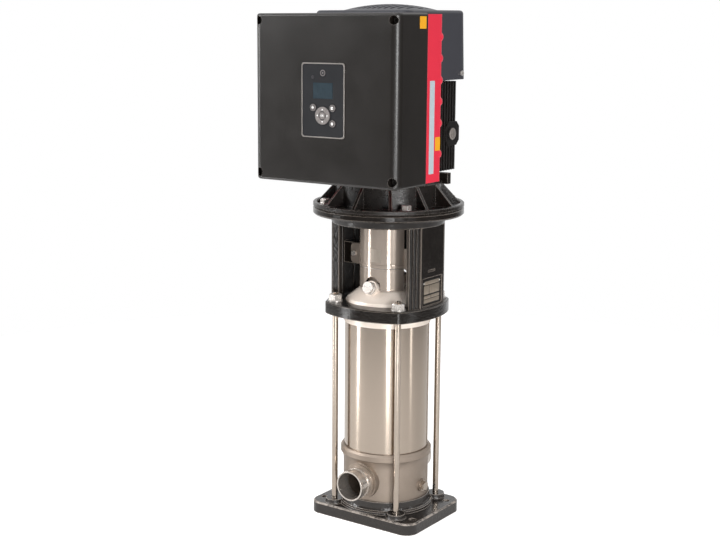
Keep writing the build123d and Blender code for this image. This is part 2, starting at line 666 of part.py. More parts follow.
def make_fan_hood():
    """Square fan hood with a domed, slotted air inlet."""
    height = HOOD_Z1 - HOOD_Z0
    outside = RectangleRounded(2 * HOOD_HALF, 2 * HOOD_HALF, HOOD_CORNER_R)
    outer = extrude(Pos(0, 0, HOOD_Z0) * outside, height, taper=HOOD_TAPER)
    outer = fillet(outer.faces().sort_by(Axis.Z)[-1].edges(), 7)
    half = HOOD_HALF - HOOD_WALL
    inside = RectangleRounded(2 * half, 2 * half, HOOD_CORNER_R - HOOD_WALL)
    inner = extrude(Pos(0, 0, HOOD_Z0 - 0.01) * inside, height - HOOD_WALL, taper=HOOD_TAPER)
    dome_r = (DOME_R ** 2 + DOME_RISE ** 2) / (2 * DOME_RISE)
    centre_z = HOOD_Z1 + DOME_RISE - dome_r
    ball = Pos(0, 0, centre_z) * Sphere(dome_r)
    core = Pos(0, 0, centre_z) * Sphere(dome_r - HOOD_WALL)
    lens = ball & cyl(DOME_R, HOOD_Z1 - 2, HOOD_Z1 + DOME_RISE + 1)
    body = outer + lens - inner
    body -= core & cyl(DOME_R - 4, HOOD_Z1 - 6, HOOD_Z1 + DOME_RISE + 1)
    pitch = 11.0
    for i in range(-7, 8):
        x = i * pitch
        reach = math.sqrt(80.0 ** 2 - x ** 2)
        slot = block(x - 2.6, x + 2.6, -reach, reach, HOOD_Z1 - 8, HOOD_Z1 + DOME_RISE + 2)
        slot -= block(-100, 100, -3, 3, HOOD_Z1 - 9, HOOD_Z1 + DOME_RISE + 3)
        body -= slot
    for sx in (-1, 1):
        for y in HOOD_SCREW_Y:
            body -= rod_x(2.6, *sorted((sx * 104, sx * 116)), y=y, z=HOOD_SCREW_Z)
    return body


def make_hood_screws():
    """Screws that hold the fan hood."""
    screws = []
    for sx in (-1, 1):
        for y in HOOD_SCREW_Y:
            x_in = sx * 100
            x_out = sx * HOOD_HALF
            x_head = x_out + sx * 3
            screw = rod_x(2.5, *sorted((x_in, x_out)), y=y, z=HOOD_SCREW_Z)
            screw += rod_x(4.8, *sorted((x_out, x_head)), y=y, z=HOOD_SCREW_Z)
            screws.append(screw)
    return group(screws)


# --------------------------------------------------------------- control box
def make_converter_frame():
    """Moulded frame between the motor and the cover, with ribbed wings."""
    body = block(-BOX_HALF_X, BOX_HALF_X, BOX_SPLIT_Y, BOX_BACK_Y, FRAME_Z0, FRAME_Z1)
    body = fillet(body.edges().filter_by(Axis.Z).group_by(Axis.Y)[-1], 6)
    pocket_front = -HOUSING_HALF - 1.5
    body -= block(-HOUSING_HALF - 3, HOUSING_HALF + 3, pocket_front, 0, FRAME_Z0 - 1, 884)
    body -= block(-HOOD_HALF - 2, HOOD_HALF + 2, -HOOD_HALF - 2, 0, 883, FRAME_Z1 + 1)
    for side in (-1, 1):
        wing_in = side * (HOOD_HALF + 6)
        wing_out = side * (BOX_HALF_X - BOX_WALL)
        for z in KNUCKLE_Z:
            x_in = side * 120
            x_out = side * (BOX_HALF_X - KNUCKLE_R + 1.5)
            y = BOX_BACK_Y - 3.5
            body += rod_x(KNUCKLE_R, *sorted((x_in, x_out)), y=y, z=z)
            body += Pos(x_out, y, z) * Sphere(KNUCKLE_R)
        body -= block(*sorted((wing_in, wing_out)), BOX_SPLIT_Y - 1, BOX_BACK_Y - BOX_WALL,
                      FRAME_Z0 + BOX_WALL, FRAME_Z1 - BOX_WALL)
    return body


def make_control_cover():
    """Deep front cover of the control box."""
    body = block(-BOX_HALF_X, BOX_HALF_X, BOX_FRONT_Y, BOX_SPLIT_Y - 0.1, BOX_Z0, BOX_Z1)
    front_edges = body.edges().filter_by(Axis.Z).group_by(Axis.Y)[0]
    body = fillet(front_edges, BOX_EDGE_R)
    body = fillet(body.faces().sort_by(Axis.Y)[0].edges(), 5)
    inner = block(-BOX_HALF_X + BOX_WALL, BOX_HALF_X - BOX_WALL, BOX_FRONT_Y + BOX_WALL, BOX_SPLIT_Y + 1,
                  BOX_Z0 + BOX_WALL, BOX_Z1 - BOX_WALL)
    inner = fillet(inner.edges().filter_by(Axis.Z).group_by(Axis.Y)[0], BOX_EDGE_R - BOX_WALL)
    for sx in (-1, 1):
        for z in COVER_SCREW_Z:
            inner -= rod_y(COVER_RECESS_R + 3, BOX_FRONT_Y, BOX_SPLIT_Y, x=sx * COVER_SCREW_X, z=z)
    body -= inner
    body -= block(-PANEL_X / 2 + 2, PANEL_X / 2 - 2, BOX_FRONT_Y - 1, BOX_FRONT_Y + 9,
                  PANEL_Z - PANEL_H / 2 + 2, PANEL_Z + PANEL_H / 2 - 2)
    for sx in (-1, 1):
        for z in COVER_SCREW_Z:
            body -= rod_y(COVER_RECESS_R, BOX_FRONT_Y - 1, BOX_FRONT_Y + COVER_RECESS_DEPTH,
                          x=sx * COVER_SCREW_X, z=z)
            body -= rod_y(2.7, BOX_FRONT_Y, BOX_SPLIT_Y, x=sx * COVER_SCREW_X, z=z)
    for x in CABLE_ENTRY_X:
        body -= cyl(10.05, BOX_Z0 - 1, BOX_Z0 + 8, x, CABLE_ENTRY_Y)
    return body


def make_cover_screws():
    """Recessed socket screws at the cover's corners."""
    screws = []
    for sx in (-1, 1):
        for z in COVER_SCREW_Z:
            head_y = BOX_FRONT_Y + COVER_RECESS_DEPTH
            screw = rod_y(6, head_y - 5, head_y, x=sx * COVER_SCREW_X, z=z)
            screw += rod_y(2.5, head_y, BOX_SPLIT_Y - 0.5, x=sx * COVER_SCREW_X, z=z)
            socket = Rot(90, 0, 0) * hexagon(5, -3, 3)
            screw -= Pos(sx * COVER_SCREW_X, head_y - 5, z) * socket
            screws.append(screw)
    return group(screws)


def make_blanking_plugs():
    """Plugs in the cover's cable entries and in the motor's side boss."""
    plug = cyl(10, BOX_Z0 - 0.05, BOX_Z0 + 8) + hexagon(24, BOX_Z0 - 4, BOX_Z0)
    plugs = [Pos(x, CABLE_ENTRY_Y, 0) * plug for x in CABLE_ENTRY_X]
    head = rod_x(13, SIDE_PAD_X, SIDE_PAD_X + 3) + rod_x(9, SIDE_PAD_X + 2.9, SIDE_PAD_X + 4.5)
    head += rod_x(8, SIDE_PAD_X - 8, SIDE_PAD_X + 0.05)
    return group(plugs + [Pos(0, SIDE_PLUG_Y, SIDE_PLUG_Z) * head])


def make_circuit_boards():
    """Power board in the control box, and the board behind the keys."""
    power = block(-130, 130, -140, -137, 735, 990) + block(-60, 60, -152, -139, 780, 940)
    y0 = BOX_FRONT_Y + 6.5
    keys = block(-44, 44, y0, y0 + 2, PANEL_Z - 64, PANEL_Z + 64)
    return group([power, keys])


def panel_outline(grow):
    """Round-cornered outline of the operating panel, on the XZ plane."""
    return RectangleRounded(PANEL_X + grow, PANEL_H + grow, 5)


def panel_slab(outline, y_front, y_back):
    """Outline raised along Y at the panel's place."""
    placed = Pos(0, y_back, PANEL_Z) * Rot(90, 0, 0) * outline
    return extrude(placed, y_back - y_front, dir=(0, -1, 0))


def make_panel_frame():
    """Thin bright rim of the operating panel."""
    body = panel_slab(panel_outline(0), BOX_FRONT_Y - 1.2, BOX_FRONT_Y)
    return body - panel_slab(panel_outline(-4), BOX_FRONT_Y - 3, BOX_FRONT_Y + 1)


# Key centres on the panel: x, height over the panel's middle, cap radius.
ROUND_KEYS = {
    "left_key": (-22.0, -13.3, 6.3),
    "right_key": (22.0, -13.3, 6.3),
    "home_key": (22.0, -41.6, 6.3),
}
PAD_Z = PANEL_Z - 27.6
PAD_R = 16.2
OK_R = 6.2
KEY_GAP = 0.35
KEY_FRONT = BOX_FRONT_Y - 2.6
KEY_BACK = BOX_FRONT_Y + 4.0
DISPLAY_Z = PANEL_Z + 17.8
STATUS_Z = PANEL_Z + 50.2


def make_panel_face():
    """Face plate of the panel with its key holes."""
    body = panel_slab(panel_outline(-4.3), BOX_FRONT_Y - 0.8, BOX_FRONT_Y + 2)
    body -= rod_y(PAD_R + KEY_GAP, BOX_FRONT_Y - 3, BOX_FRONT_Y + 3, z=PAD_Z)
    for x, dz, radius in ROUND_KEYS.values():
        body -= rod_y(radius + KEY_GAP, BOX_FRONT_Y - 3, BOX_FRONT_Y + 3, x=x, z=PANEL_Z + dz)
    body -= block(-22.3, 22.3, BOX_FRONT_Y - 3, BOX_FRONT_Y, DISPLAY_Z - 14.8, DISPLAY_Z + 14.8)
    body -= rod_y(6.3, BOX_FRONT_Y - 3, BOX_FRONT_Y, z=STATUS_Z)
    body -= rod_y(3.3, BOX_FRONT_Y - 3, BOX_FRONT_Y, x=-23, z=STATUS_Z - 8)
    return body


def make_display_window():
    """Flat window over the display."""
    return block(-22, 22, BOX_FRONT_Y - 1, BOX_FRONT_Y - 0.05, DISPLAY_Z - 14.5, DISPLAY_Z + 14.5)


def make_status_lights():
    """Ring light and small sensor lens."""
    eye = rod_y(6.2, BOX_FRONT_Y - 1.3, BOX_FRONT_Y - 0.05, z=STATUS_Z)
    dot = rod_y(3.2, BOX_FRONT_Y - 1.0, BOX_FRONT_Y - 0.05, x=-23, z=STATUS_Z - 8)
    return group([eye, dot])


def make_round_key(x, dz, radius):
    """Round key with a wider foot behind the face plate."""
    z = PANEL_Z + dz
    body = rod_y(radius, KEY_FRONT, KEY_BACK, x=x, z=z)
    body = fillet(body.faces().sort_by(Axis.Y)[0].edges(), 0.8)
    return body + rod_y(radius + 1.2, BOX_FRONT_Y + 2.3, KEY_BACK, x=x, z=z)


def make_arrow_key(turn):
    """Quarter of the round key pad."""
    body = rod_y(PAD_R, KEY_FRONT, KEY_BACK) - rod_y(OK_R + KEY_GAP, KEY_FRONT - 1, KEY_BACK + 1)
    gap = KEY_GAP / 2
    wedge = make_face(Polyline((0, gap * 1.5), (30, 30 + gap * 1.5), (-30, 30 + gap * 1.5), close=True))
    keep = Pos(0, KEY_BACK + 1, 0) * Rot(90, 0, 0) * wedge
    body &= extrude(keep, 20, dir=(0, -1, 0))
    return Pos(0, 0, PAD_Z) * Rot(0, turn, 0) * body


def make_ok_key():
    """Centre key of the pad."""
    body = rod_y(OK_R, KEY_FRONT - 0.4, KEY_BACK, z=PAD_Z)
    return fillet(body.faces().sort_by(Axis.Y)[0].edges(), 0.8)


ARROWS = {"up": 0, "right": 90, "down": 180, "left": 270}

save("base_plate", make_base_plate())
save("pump_base", make_pump_base())
save("drain_plug", make_drain_plug())
save("sleeve_seals", make_sleeve_seals())
save("outer_sleeve", ring(SLEEVE_R, SLEEVE_R - SLEEVE_WALL, SLEEVE_Z0, SLEEVE_Z1))
save("tie_rods", make_tie_rods())
save("tie_rod_washers", make_rod_washers())
save("tie_rod_nuts", make_rod_nuts())
save("stage_chambers", make_stage_chambers())
save("neck_rings", make_neck_rings())
IMPELLER = make_impeller()
for stage in range(STAGES):
    save(f"impeller_{stage + 1}", Pos(0, 0, STACK_Z + stage * STAGE_PITCH) * IMPELLER)
save("shaft_bush", make_shaft_bush())
save("shaft_nut", make_shaft_nut())
save("pump_shaft", make_pump_shaft())
save("pump_head", make_pump_head())
save("vent_plug", make_vent_plug())
save("seal_seat", make_seal_seat())
save("seal_rotor", make_seal_rotor())
save("motor_stool", make_motor_stool())
save("coupling_guard_front", make_guard(0))
save("coupling_guard_rear", make_guard(180))
save("guard_screws", make_guard_screws())
save("coupling_half_front", make_coupling_half(0))
save("coupling_half_rear", make_coupling_half(180))
save("coupling_screws", make_coupling_screws())
save("motor_flange", make_motor_flange())
save("flange_bolts", make_flange_bolts())
save("stator_housing", make_stator_housing())
save("stator_core", make_stator_core())
save("stator_windings", make_stator_windings())
save("motor_shaft", make_motor_shaft())
save("rotor_core", make_rotor_core())
save("bearing_outer_rings", make_bearing_outer_rings())
save("bearing_inner_rings", make_bearing_inner_rings())
save("upper_end_shield", make_upper_end_shield())
save("cooling_fan", make_cooling_fan())
save("fan_hood", make_fan_hood())
save("hood_screws", make_hood_screws())
save("converter_frame", make_converter_frame())
save("control_cover", make_control_cover())
save("cover_screws", make_cover_screws())
save("blanking_plugs", make_blanking_plugs())
save("circuit_boards", make_circuit_boards())
save("panel_frame", make_panel_frame())
save("panel_face", make_panel_face())
save("display_window", make_display_window())
save("status_lights", make_status_lights())
for key, (x, dz, radius) in ROUND_KEYS.items():
    save(key, make_round_key(x, dz, radius))
for arrow, turn in ARROWS.items():
    save(f"arrow_key_{arrow}", make_arrow_key(turn))
save("ok_key", make_ok_key())
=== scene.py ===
"""Finish of a vertical multistage pump with a variable-speed motor, built round its CAD frame.

Metres, +Z up, the origin under the middle of the base plate; the control box faces -Y.
"""

import json
import logging
import math
import re
from dataclasses import dataclass, field
from enum import Enum
from typing import Any, Optional, Sequence

import bmesh
import bpy
from mathutils import Matrix, Vector


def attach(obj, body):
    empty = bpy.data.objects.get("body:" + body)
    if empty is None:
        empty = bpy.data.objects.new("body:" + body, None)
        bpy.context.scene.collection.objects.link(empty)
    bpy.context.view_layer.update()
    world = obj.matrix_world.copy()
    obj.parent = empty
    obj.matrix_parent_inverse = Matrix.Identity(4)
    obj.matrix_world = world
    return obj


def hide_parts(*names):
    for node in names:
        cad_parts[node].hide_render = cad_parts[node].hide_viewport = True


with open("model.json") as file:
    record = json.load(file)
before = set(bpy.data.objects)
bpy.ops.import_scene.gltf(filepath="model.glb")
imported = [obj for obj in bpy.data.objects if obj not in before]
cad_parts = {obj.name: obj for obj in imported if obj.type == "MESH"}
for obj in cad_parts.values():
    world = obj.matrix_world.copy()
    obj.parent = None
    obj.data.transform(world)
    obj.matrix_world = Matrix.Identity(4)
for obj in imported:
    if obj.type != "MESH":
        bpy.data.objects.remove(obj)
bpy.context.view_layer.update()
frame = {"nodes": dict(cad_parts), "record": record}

LOG = logging.getLogger("pump_finish")
MM = 0.001
BODY = "pump"

Point = tuple[float, float]
Way = tuple[float, float, float]
Four = tuple[float, float, float, float]
Tree = bpy.types.NodeTree
Socket = bpy.types.NodeSocket
Mesh = bmesh.types.BMesh

ABOUT_Z = {"cent": (0, 0, 0), "axis": (0, 0, 1)}
WELD_M = 1e-6
RIM_ANGLE = 1.2  # radians; sharper edges of a plate are rims
CLOUD_OCTAVES, SKIN_OCTAVES = 3.0, 2.0
GLOSS_SPAN = (0.3, 0.7)  # noise values between which the gloss swings
SKIN_SPAN = (0.25, 0.75)  # skin heights between hollow and crest
CREST_SHARE = 0.6  # how much of the hollows' shade the crests gain
RUB_COSINES = (0.997, 0.93)  # rounded against true normal: lighter edge begins, lighter edge is full; partly wear, partly painted highlight
RIDGE_DEPTHS = (0.82, 0.6)  # openness inside the skin: ridge begins, ridge is full
STREAK_TURN = 0.25  # quarter turn that draws the lights out along Z


class Grain(Enum):
    """Direction in which a machined or brushed surface is drawn out."""

    NONE = (1.0, 1.0, 1.0)
    ROUND_Z = (0.012, 0.012, 1.0)
    ALONG_Z = (1.0, 1.0, 0.02)


def linear(colour: str) -> Four:
    """Turns an sRGB hex colour to the linear colour that a shader takes.

    Args:
        colour: Hex colour such as "#a99c8f".

    Returns:
        Linear red, green, blue and an alpha of one.
    """
    parts = [int(colour[i:i + 2], 16) / 255 for i in (1, 3, 5)]
    curve = [c / 12.92 if c <= 0.04045 else ((c + 0.055) / 1.055) ** 2.4 for c in parts]
    return (curve[0], curve[1], curve[2], 1.0)


def add_node(tree: Tree, kind: str, settings: Optional[dict[str, Any]] = None,
             values: Optional[dict[Any, Any]] = None,
             links: Optional[dict[Any, Socket]] = None) -> bpy.types.Node:
    """Adds a node with its settings, its socket values and the links into it.

    Args:
        tree: Node tree that gets the node.
        kind: Type name of the node.
        settings: Properties of the node.
        values: Default values by socket name or number.
        links: Sockets that feed this node, by its socket name or number.

    Returns:
        The new node.
    """
    node = tree.nodes.new(kind)
    for name, value in (settings or {}).items():
        setattr(node, name, value)
    for socket, value in (values or {}).items():
        node.inputs[socket].default_value = value
    for socket, source in (links or {}).items():
        tree.links.new(source, node.inputs[socket])
    return node


def noise(tree: Tree, space: Socket, size_mm: float, octaves: float) -> Socket:
    """Adds a noise from zero to one whose blobs are about a real size across."""
    return add_node(tree, "ShaderNodeTexNoise", None,
                    {"Scale": 1.0 / (size_mm * MM), "Detail": octaves, "Roughness": 0.55},
                    {"Vector": space}).outputs[0]


def remap(tree: Tree, value: Socket, source: Point, target: Point = (0.0, 1.0),
          ease: str = "LINEAR") -> Socket:
    """Maps a value from the source span to the target span, held at its ends."""
    return add_node(tree, "ShaderNodeMapRange", {"interpolation_type": ease},
                    {"From Min": source[0], "From Max": source[1], "To Min": target[0],
                     "To Max": target[1]}, {"Value": value}).outputs[0]


def maths(tree: Tree, operation: str, first: Socket, second: Any = None) -> Socket:
    """Works on one socket, or on it with a second socket or a number.

    Args:
        tree: Node tree that gets the node.
        operation: The node's operation.
        first: Socket for its first input.
        second: Socket or number for its second input, if it has one.

    Returns:
        The result.
    """
    linked = isinstance(second, Socket)
    return add_node(tree, "ShaderNodeMath", {"operation": operation},
                    {} if linked or second is None else {1: second},
                    {0: first, 1: second} if linked else {0: first}).outputs[0]


def blend(tree: Tree, share: Socket, under: Any, over: str) -> Socket:
    """Mixes a hex colour over another, which is a hex colour or a socket."""
    hexed = isinstance(under, str)
    return add_node(tree, "ShaderNodeMix", {"data_type": "RGBA"},
                    {7: linear(over), **({6: linear(under)} if hexed else {})},
                    {0: share, **({} if hexed else {6: under})}).outputs[2]


def paint_over(tree: Tree, shader: bpy.types.Node, share: Socket, colour: str) -> None:
    """Lays a hex colour over a shader's base colour so far."""
    base = shader.inputs["Base Color"]
    tree.links.new(blend(tree, share, base.links[0].from_socket, colour), base)


def fresh_tree(owner: Any) -> Tree:
    """Gives a material or a world an empty node tree, and returns it."""
    owner.use_nodes = True
    owner.node_tree.nodes.clear()
    return owner.node_tree


def rays(tree: Tree) -> tuple[Socket, Socket]:
    """Returns what marks the camera's rays, and what marks mirrored and passed ones."""
    path = add_node(tree, "ShaderNodeLightPath").outputs
    onward = maths(tree, "MAXIMUM", path["Is Glossy Ray"], path["Is Transmission Ray"])
    return path["Is Camera Ray"], onward


def placed(name: str, data: bpy.types.ID) -> bpy.types.Object:
    """Puts an object with its data in the scene, and returns it."""
    holder = bpy.data.objects.new(name, data)
    bpy.context.scene.collection.objects.link(holder)
    return holder


def heading(azimuth: float) -> Way:
    """Returns the level direction at an azimuth in degrees, from the front to the right."""
    return (math.sin(math.radians(azimuth)), -math.cos(math.radians(azimuth)), 0.0)


# ---- finishes
@dataclass(frozen=True)
class Finish:
    """A surface: its colour, gloss, skin and its lighter edges, partly wear and partly painted
    highlight.

    Lengths are real sizes in millimetres; colours are sRGB hex values.
    """

    colour: str = "#808080"
    patch: str = "#7a7a7a"
    roughness: float = 0.5
    rough_swing: float = 0.06
    metallic: float = 0.0
    patch_mm: float = 60.0
    grain: Grain = Grain.NONE
    grain_mm: float = 1.0
    grain_depth_mm: float = 0.02
    edge_mm: float = 0.0
    # colour of the lighter edges: partly wear, partly a painted highlight
    edge: str = ""
    # reach of the inside test that also lightens ridges: partly wear, partly painted highlight
    rub_mm: float = 0.0
    anisotropic: float = 0.0
    specular: float = 0.5
    hollow: float = 0.1
    coat: float = 0.0
    coat_roughness: float = 0.1

    @property
    def name(self) -> str:
        """The class's name in small letters, with underscores."""
        return re.sub(r"(?<!^)(?=[A-Z])", "_", type(self).__name__).lower()

    def material(self) -> bpy.types.Material:
        """Returns the finish's material, made once."""
        made = bpy.data.materials.get("pump_" + self.name)
        if made is not None:
            return made
        made = bpy.data.materials.new("pump_" + self.name)
        tree = fresh_tree(made)
        shader = add_node(tree, "ShaderNodeBsdfPrincipled", values={
            "Metallic": self.metallic, "Roughness": self.roughness,
            "Coat Weight": self.coat, "Coat Roughness": self.coat_roughness,
            "Specular IOR Level": self.specular, "Anisotropic": self.anisotropic})
        add_node(tree, "ShaderNodeOutputMaterial", links={"Surface": shader.outputs[0]})
        self.dress(tree, shader, add_node(tree, "ShaderNodeTexCoord").outputs["Object"])
        return made

    def dress(self, tree: Tree, shader: bpy.types.Node, space: Socket) -> None:
        """Feeds the shader with the patchy colour, the gloss and the skin.

        Args:
            tree: Node tree of the material.
            shader: Its Principled shader.
            space: Object coordinates, in metres.
        """
        clouds = noise(tree, space, self.patch_mm, CLOUD_OCTAVES)
        tone = blend(tree, clouds, self.colour, self.patch)
        skin = noise(tree, self.stretched(tree, space), self.grain_mm, SKIN_OCTAVES)
        bump = add_node(tree, "ShaderNodeBump", None,
                        {"Strength": 1.0, "Distance": self.grain_depth_mm * MM}, {"Height": skin})
        if self.edge_mm:
            tone, normal = self.worn_edges(tree, tone)
            tree.links.new(normal, bump.inputs["Normal"])
        tree.links.new(bump.outputs[0], shader.inputs["Normal"])
        tree.links.new(self.toned(tree, tone, skin), shader.inputs["Base Color"])
        swing = (self.roughness - self.rough_swing, self.roughness + self.rough_swing)
        gloss = remap(tree, clouds if self.grain is Grain.NONE else skin, GLOSS_SPAN, swing)
        tree.links.new(gloss, shader.inputs["Roughness"])
        if self.anisotropic:
            round_z = add_node(tree, "ShaderNodeTangent",
                               {"direction_type": "RADIAL", "axis": "Z"}).outputs[0]
            tree.links.new(round_z, shader.inputs["Tangent"])
            shader.inputs["Anisotropic Rotation"].default_value = STREAK_TURN

    def toned(self, tree: Tree, tone: Socket, skin: Socket) -> Socket:
        """Darkens the hollows of the skin a little."""
        shade = remap(tree, skin, SKIN_SPAN, (1.0 - self.hollow, 1.0 + CREST_SHARE * self.hollow))
        return add_node(tree, "ShaderNodeVectorMath", {"operation": "SCALE"},
                        links={0: tone, "Scale": shade}).outputs[0]

    def stretched(self, tree: Tree, space: Socket) -> Socket:
        """Draws the coordinates out along the grain."""
        if self.grain is Grain.NONE:
            return space
        return add_node(tree, "ShaderNodeMapping", values={"Scale": self.grain.value},
                        links={"Vector": space}).outputs[0]

    def worn_edges(self, tree: Tree, tone: Socket) -> tuple[Socket, Socket]:
        """Rounds the edges in the shading and lightens them, partly as wear where hands and tools
        rub and partly as a painted highlight.

        Args:
            tree: Node tree of the material.
            tone: Colour so far.

        Returns:
            The colour with its edges and the rounded normal.
        """
        soft = add_node(tree, "ShaderNodeBevel", {"samples": 4},
                        {"Radius": self.edge_mm * MM}).outputs[0]
        if not self.edge:
            return tone, soft
        true = add_node(tree, "ShaderNodeNewGeometry").outputs["Normal"]
        across = add_node(tree, "ShaderNodeVectorMath", {"operation": "DOT_PRODUCT"},
                          links={0: soft, 1: true}).outputs["Value"]
        # lighter edge mask: partly wear, partly painted highlight
        rub = remap(tree, across, RUB_COSINES)
        if self.rub_mm:
            depth = add_node(tree, "ShaderNodeAmbientOcclusion",
                             {"inside": True, "only_local": True, "samples": 6},
                             {"Distance": self.rub_mm * MM}).outputs["AO"]
            rub = maths(tree, "MAXIMUM", rub, remap(tree, depth, RIDGE_DEPTHS))
        return blend(tree, rub, tone, self.edge), soft


@dataclass(frozen=True)
class PaintedCasting(Finish):
    """Grey iron cast in sand and dip-painted black.

    The sand leaves a pebbly skin under a half-gloss film; its edges are lightened, partly as wear
    and partly as a painted highlight.
    """

    colour: str = "#1a1613"
    patch: str = "#2a2420"
    roughness: float = 0.2
    rough_swing: float = 0.07
    patch_mm: float = 14.0
    grain_mm: float = 5.0
    grain_depth_mm: float = 0.55
    edge_mm: float = 1.8
    # pale edge colour: partly wear, partly a painted highlight on rims and ridges
    edge: str = "#a0968d"
    rub_mm: float = 2.0
    specular: float = 0.55


@dataclass(frozen=True)
class PlatePaint(PaintedCasting):
    """The base plate's casting, with a painted highlight, partly wear, along the round of its top
    edge.
    """

    round_low_mm: float = 20.4
    round_high_mm: float = 23.6
    rub_patch_mm: float = 9.0
    rub_span: Point = (0.35, 0.6)

    def dress(self, tree: Tree, shader: bpy.types.Node, space: Socket) -> None:
        """Adds the painted highlight, partly wear, as a patchy line between two heights.

        Args:
            tree: Node tree of the material.
            shader: Its Principled shader.
            space: Object coordinates, in metres.
        """
        super().dress(tree, shader, space)
        height = add_node(tree, "ShaderNodeSeparateXYZ", links={0: space}).outputs["Z"]
        middle = (self.round_low_mm + self.round_high_mm) / 2 * MM
        half = (self.round_high_mm - self.round_low_mm) / 2 * MM
        line = add_node(tree, "ShaderNodeMath", {"operation": "COMPARE"},
                        {1: middle, 2: half}, {0: height}).outputs[0]
        patchy = remap(tree, noise(tree, space, self.rub_patch_mm, CLOUD_OCTAVES), self.rub_span)
        # painted highlight, partly wear, along the round of the top edge
        paint_over(tree, shader, maths(tree, "MULTIPLY", line, patchy), self.edge)


@dataclass(frozen=True)
class StoolPaint(PaintedCasting):
    """The motor stool's casting, flatter and deeper black than the base plate's."""

    colour: str = "#14100e"
    patch: str = "#1c1713"
    specular: float = 0.33
    edge_mm: float = 1.5
    # pale edge colour: partly wear, partly a painted highlight
    edge: str = "#857b72"
    rub_mm: float = 2.6
    grain_depth_mm: float = 0.45


@dataclass(frozen=True)
class ShieldPaint(PaintedCasting):
    """The motor's end shield in thin black paint: its flange edges are pale, partly wear and partly
    a painted highlight.
    """

    colour: str = "#16120f"
    patch: str = "#1f1a17"
    roughness: float = 0.3
    grain_mm: float = 3.0
    grain_depth_mm: float = 0.3
    edge_mm: float = 0.6
    rub_mm: float = 1.6
    # pale edge colour: partly wear, partly a painted highlight on the flange edges
    edge: str = "#857d76"
    specular: float = 0.4


@dataclass(frozen=True)
class MotorPaint(PaintedCasting):
    """Die-cast aluminium fins under smooth black paint: tighter skin, unworn edges with only a
    faint painted highlight.
    """

    colour: str = "#131110"
    patch: str = "#191614"
    roughness: float = 0.36
    grain_mm: float = 1.5
    grain_depth_mm: float = 0.06
    edge_mm: float = 0.8
    # faint painted highlight on the fin edges
    edge: str = "#2a2622"
    rub_mm: float = 0.0
    specular: float = 0.35


@dataclass(frozen=True)
class SatinCasting(Finish):
    """Stainless casting, blasted with glass beads: even, warm and silky."""

    colour: str = "#9f9286"
    patch: str = "#908377"
    roughness: float = 0.46
    rough_swing: float = 0.05
    metallic: float = 0.8
    patch_mm: float = 45.0
    grain_mm: float = 0.9
    grain_depth_mm: float = 0.03
    edge_mm: float = 0.8


@dataclass(frozen=True)
class HeadCasting(SatinCasting):
    """The pump head: the base's casting painted near white as painted light where the cone catches
    the lamps, less metallic and more matt.
    """

    # near white: painted light on the upward-facing cone
    colour: str = "#fff4ea"
    patch: str = "#ecdccd"
    roughness: float = 0.36
    metallic: float = 0.15
    patch_mm: float = 26.0


@dataclass(frozen=True)
class PortCasting(SatinCasting):
    """The blasted base casting, whose pipe stubs are turned bright outside the boss."""

    stub_from_mm: float = 95.0
    stub_colour: str = "#c6beb6"
    stub_roughness: float = 0.17

    def dress(self, tree: Tree, shader: bpy.types.Node, space: Socket) -> None:
        """Adds bright turned stubs beyond the bosses.

        Args:
            tree: Node tree of the material.
            shader: Its Principled shader.
            space: Object coordinates, in metres.
        """
        super().dress(tree, shader, space)
        reach = maths(tree, "ABSOLUTE", add_node(
            tree, "ShaderNodeSeparateXYZ", links={0: space}).outputs["Y"])
        turned = maths(tree, "GREATER_THAN", reach, self.stub_from_mm * MM)
        gloss = shader.inputs["Roughness"]
        bright = add_node(tree, "ShaderNodeMix", None, {3: self.stub_roughness},
                          {0: turned, 2: gloss.links[0].from_socket})
        tree.links.new(bright.outputs[0], gloss)
        paint_over(tree, shader, turned, self.stub_colour)


@dataclass(frozen=True)
class BrushedSleeve(Finish):
    """Rolled stainless tube, brushed round: tall soft streaks of light on a fine grain."""

    colour: str = "#b3a699"
    patch: str = "#ac9f92"
    roughness: float = 0.2
    rough_swing: float = 0.015
    metallic: float = 1.0
    patch_mm: float = 160.0
    grain: Grain = Grain.ROUND_Z
    grain_mm: float = 0.5
    grain_depth_mm: float = 0.0004
    anisotropic: float = 0.78
    hollow: float = 0.03


@dataclass(frozen=True)
class GuardSheet(BrushedSleeve):
    """Thin pressed stainless sheet, left as rolled: an even warm shine, softer than a tube's."""

    colour: str = "#c6b8ac"
    patch: str = "#b9ab9e"
    roughness: float = 0.19
    metallic: float = 0.6
    grain_mm: float = 1.2
    grain_depth_mm: float = 0.0001
    anisotropic: float = 0.5
    hollow: float = 0.025
    edge_mm: float = 0.5


@dataclass(frozen=True)
class DrawnBar(Finish):
    """Cold-drawn stainless bar with faint marks of the die along it."""

    colour: str = "#b9ada1"
    patch: str = "#a99d91"
    roughness: float = 0.19
    metallic: float = 1.0
    grain: Grain = Grain.ALONG_Z
    grain_mm: float = 0.8
    grain_depth_mm: float = 0.003


@dataclass(frozen=True)
class ZincSteel(Finish):
    """Zinc-plated steel: pale, slightly cloudy and softly bright."""

    colour: str = "#e4ded8"
    patch: str = "#b9b2ab"
    roughness: float = 0.3
    metallic: float = 0.62
    patch_mm: float = 5.0
    grain_mm: float = 2.5
    grain_depth_mm: float = 0.12
    edge_mm: float = 0.8
    # white edges: a painted glint along the rims
    edge: str = "#ffffff"


@dataclass(frozen=True)
class TurnedSteel(Finish):
    """Steel turned on a lathe, with fine rings from the tool."""

    colour: str = "#b4b0ab"
    patch: str = "#a7a39e"
    roughness: float = 0.24
    metallic: float = 1.0
    grain: Grain = Grain.ROUND_Z
    grain_mm: float = 0.8
    grain_depth_mm: float = 0.006


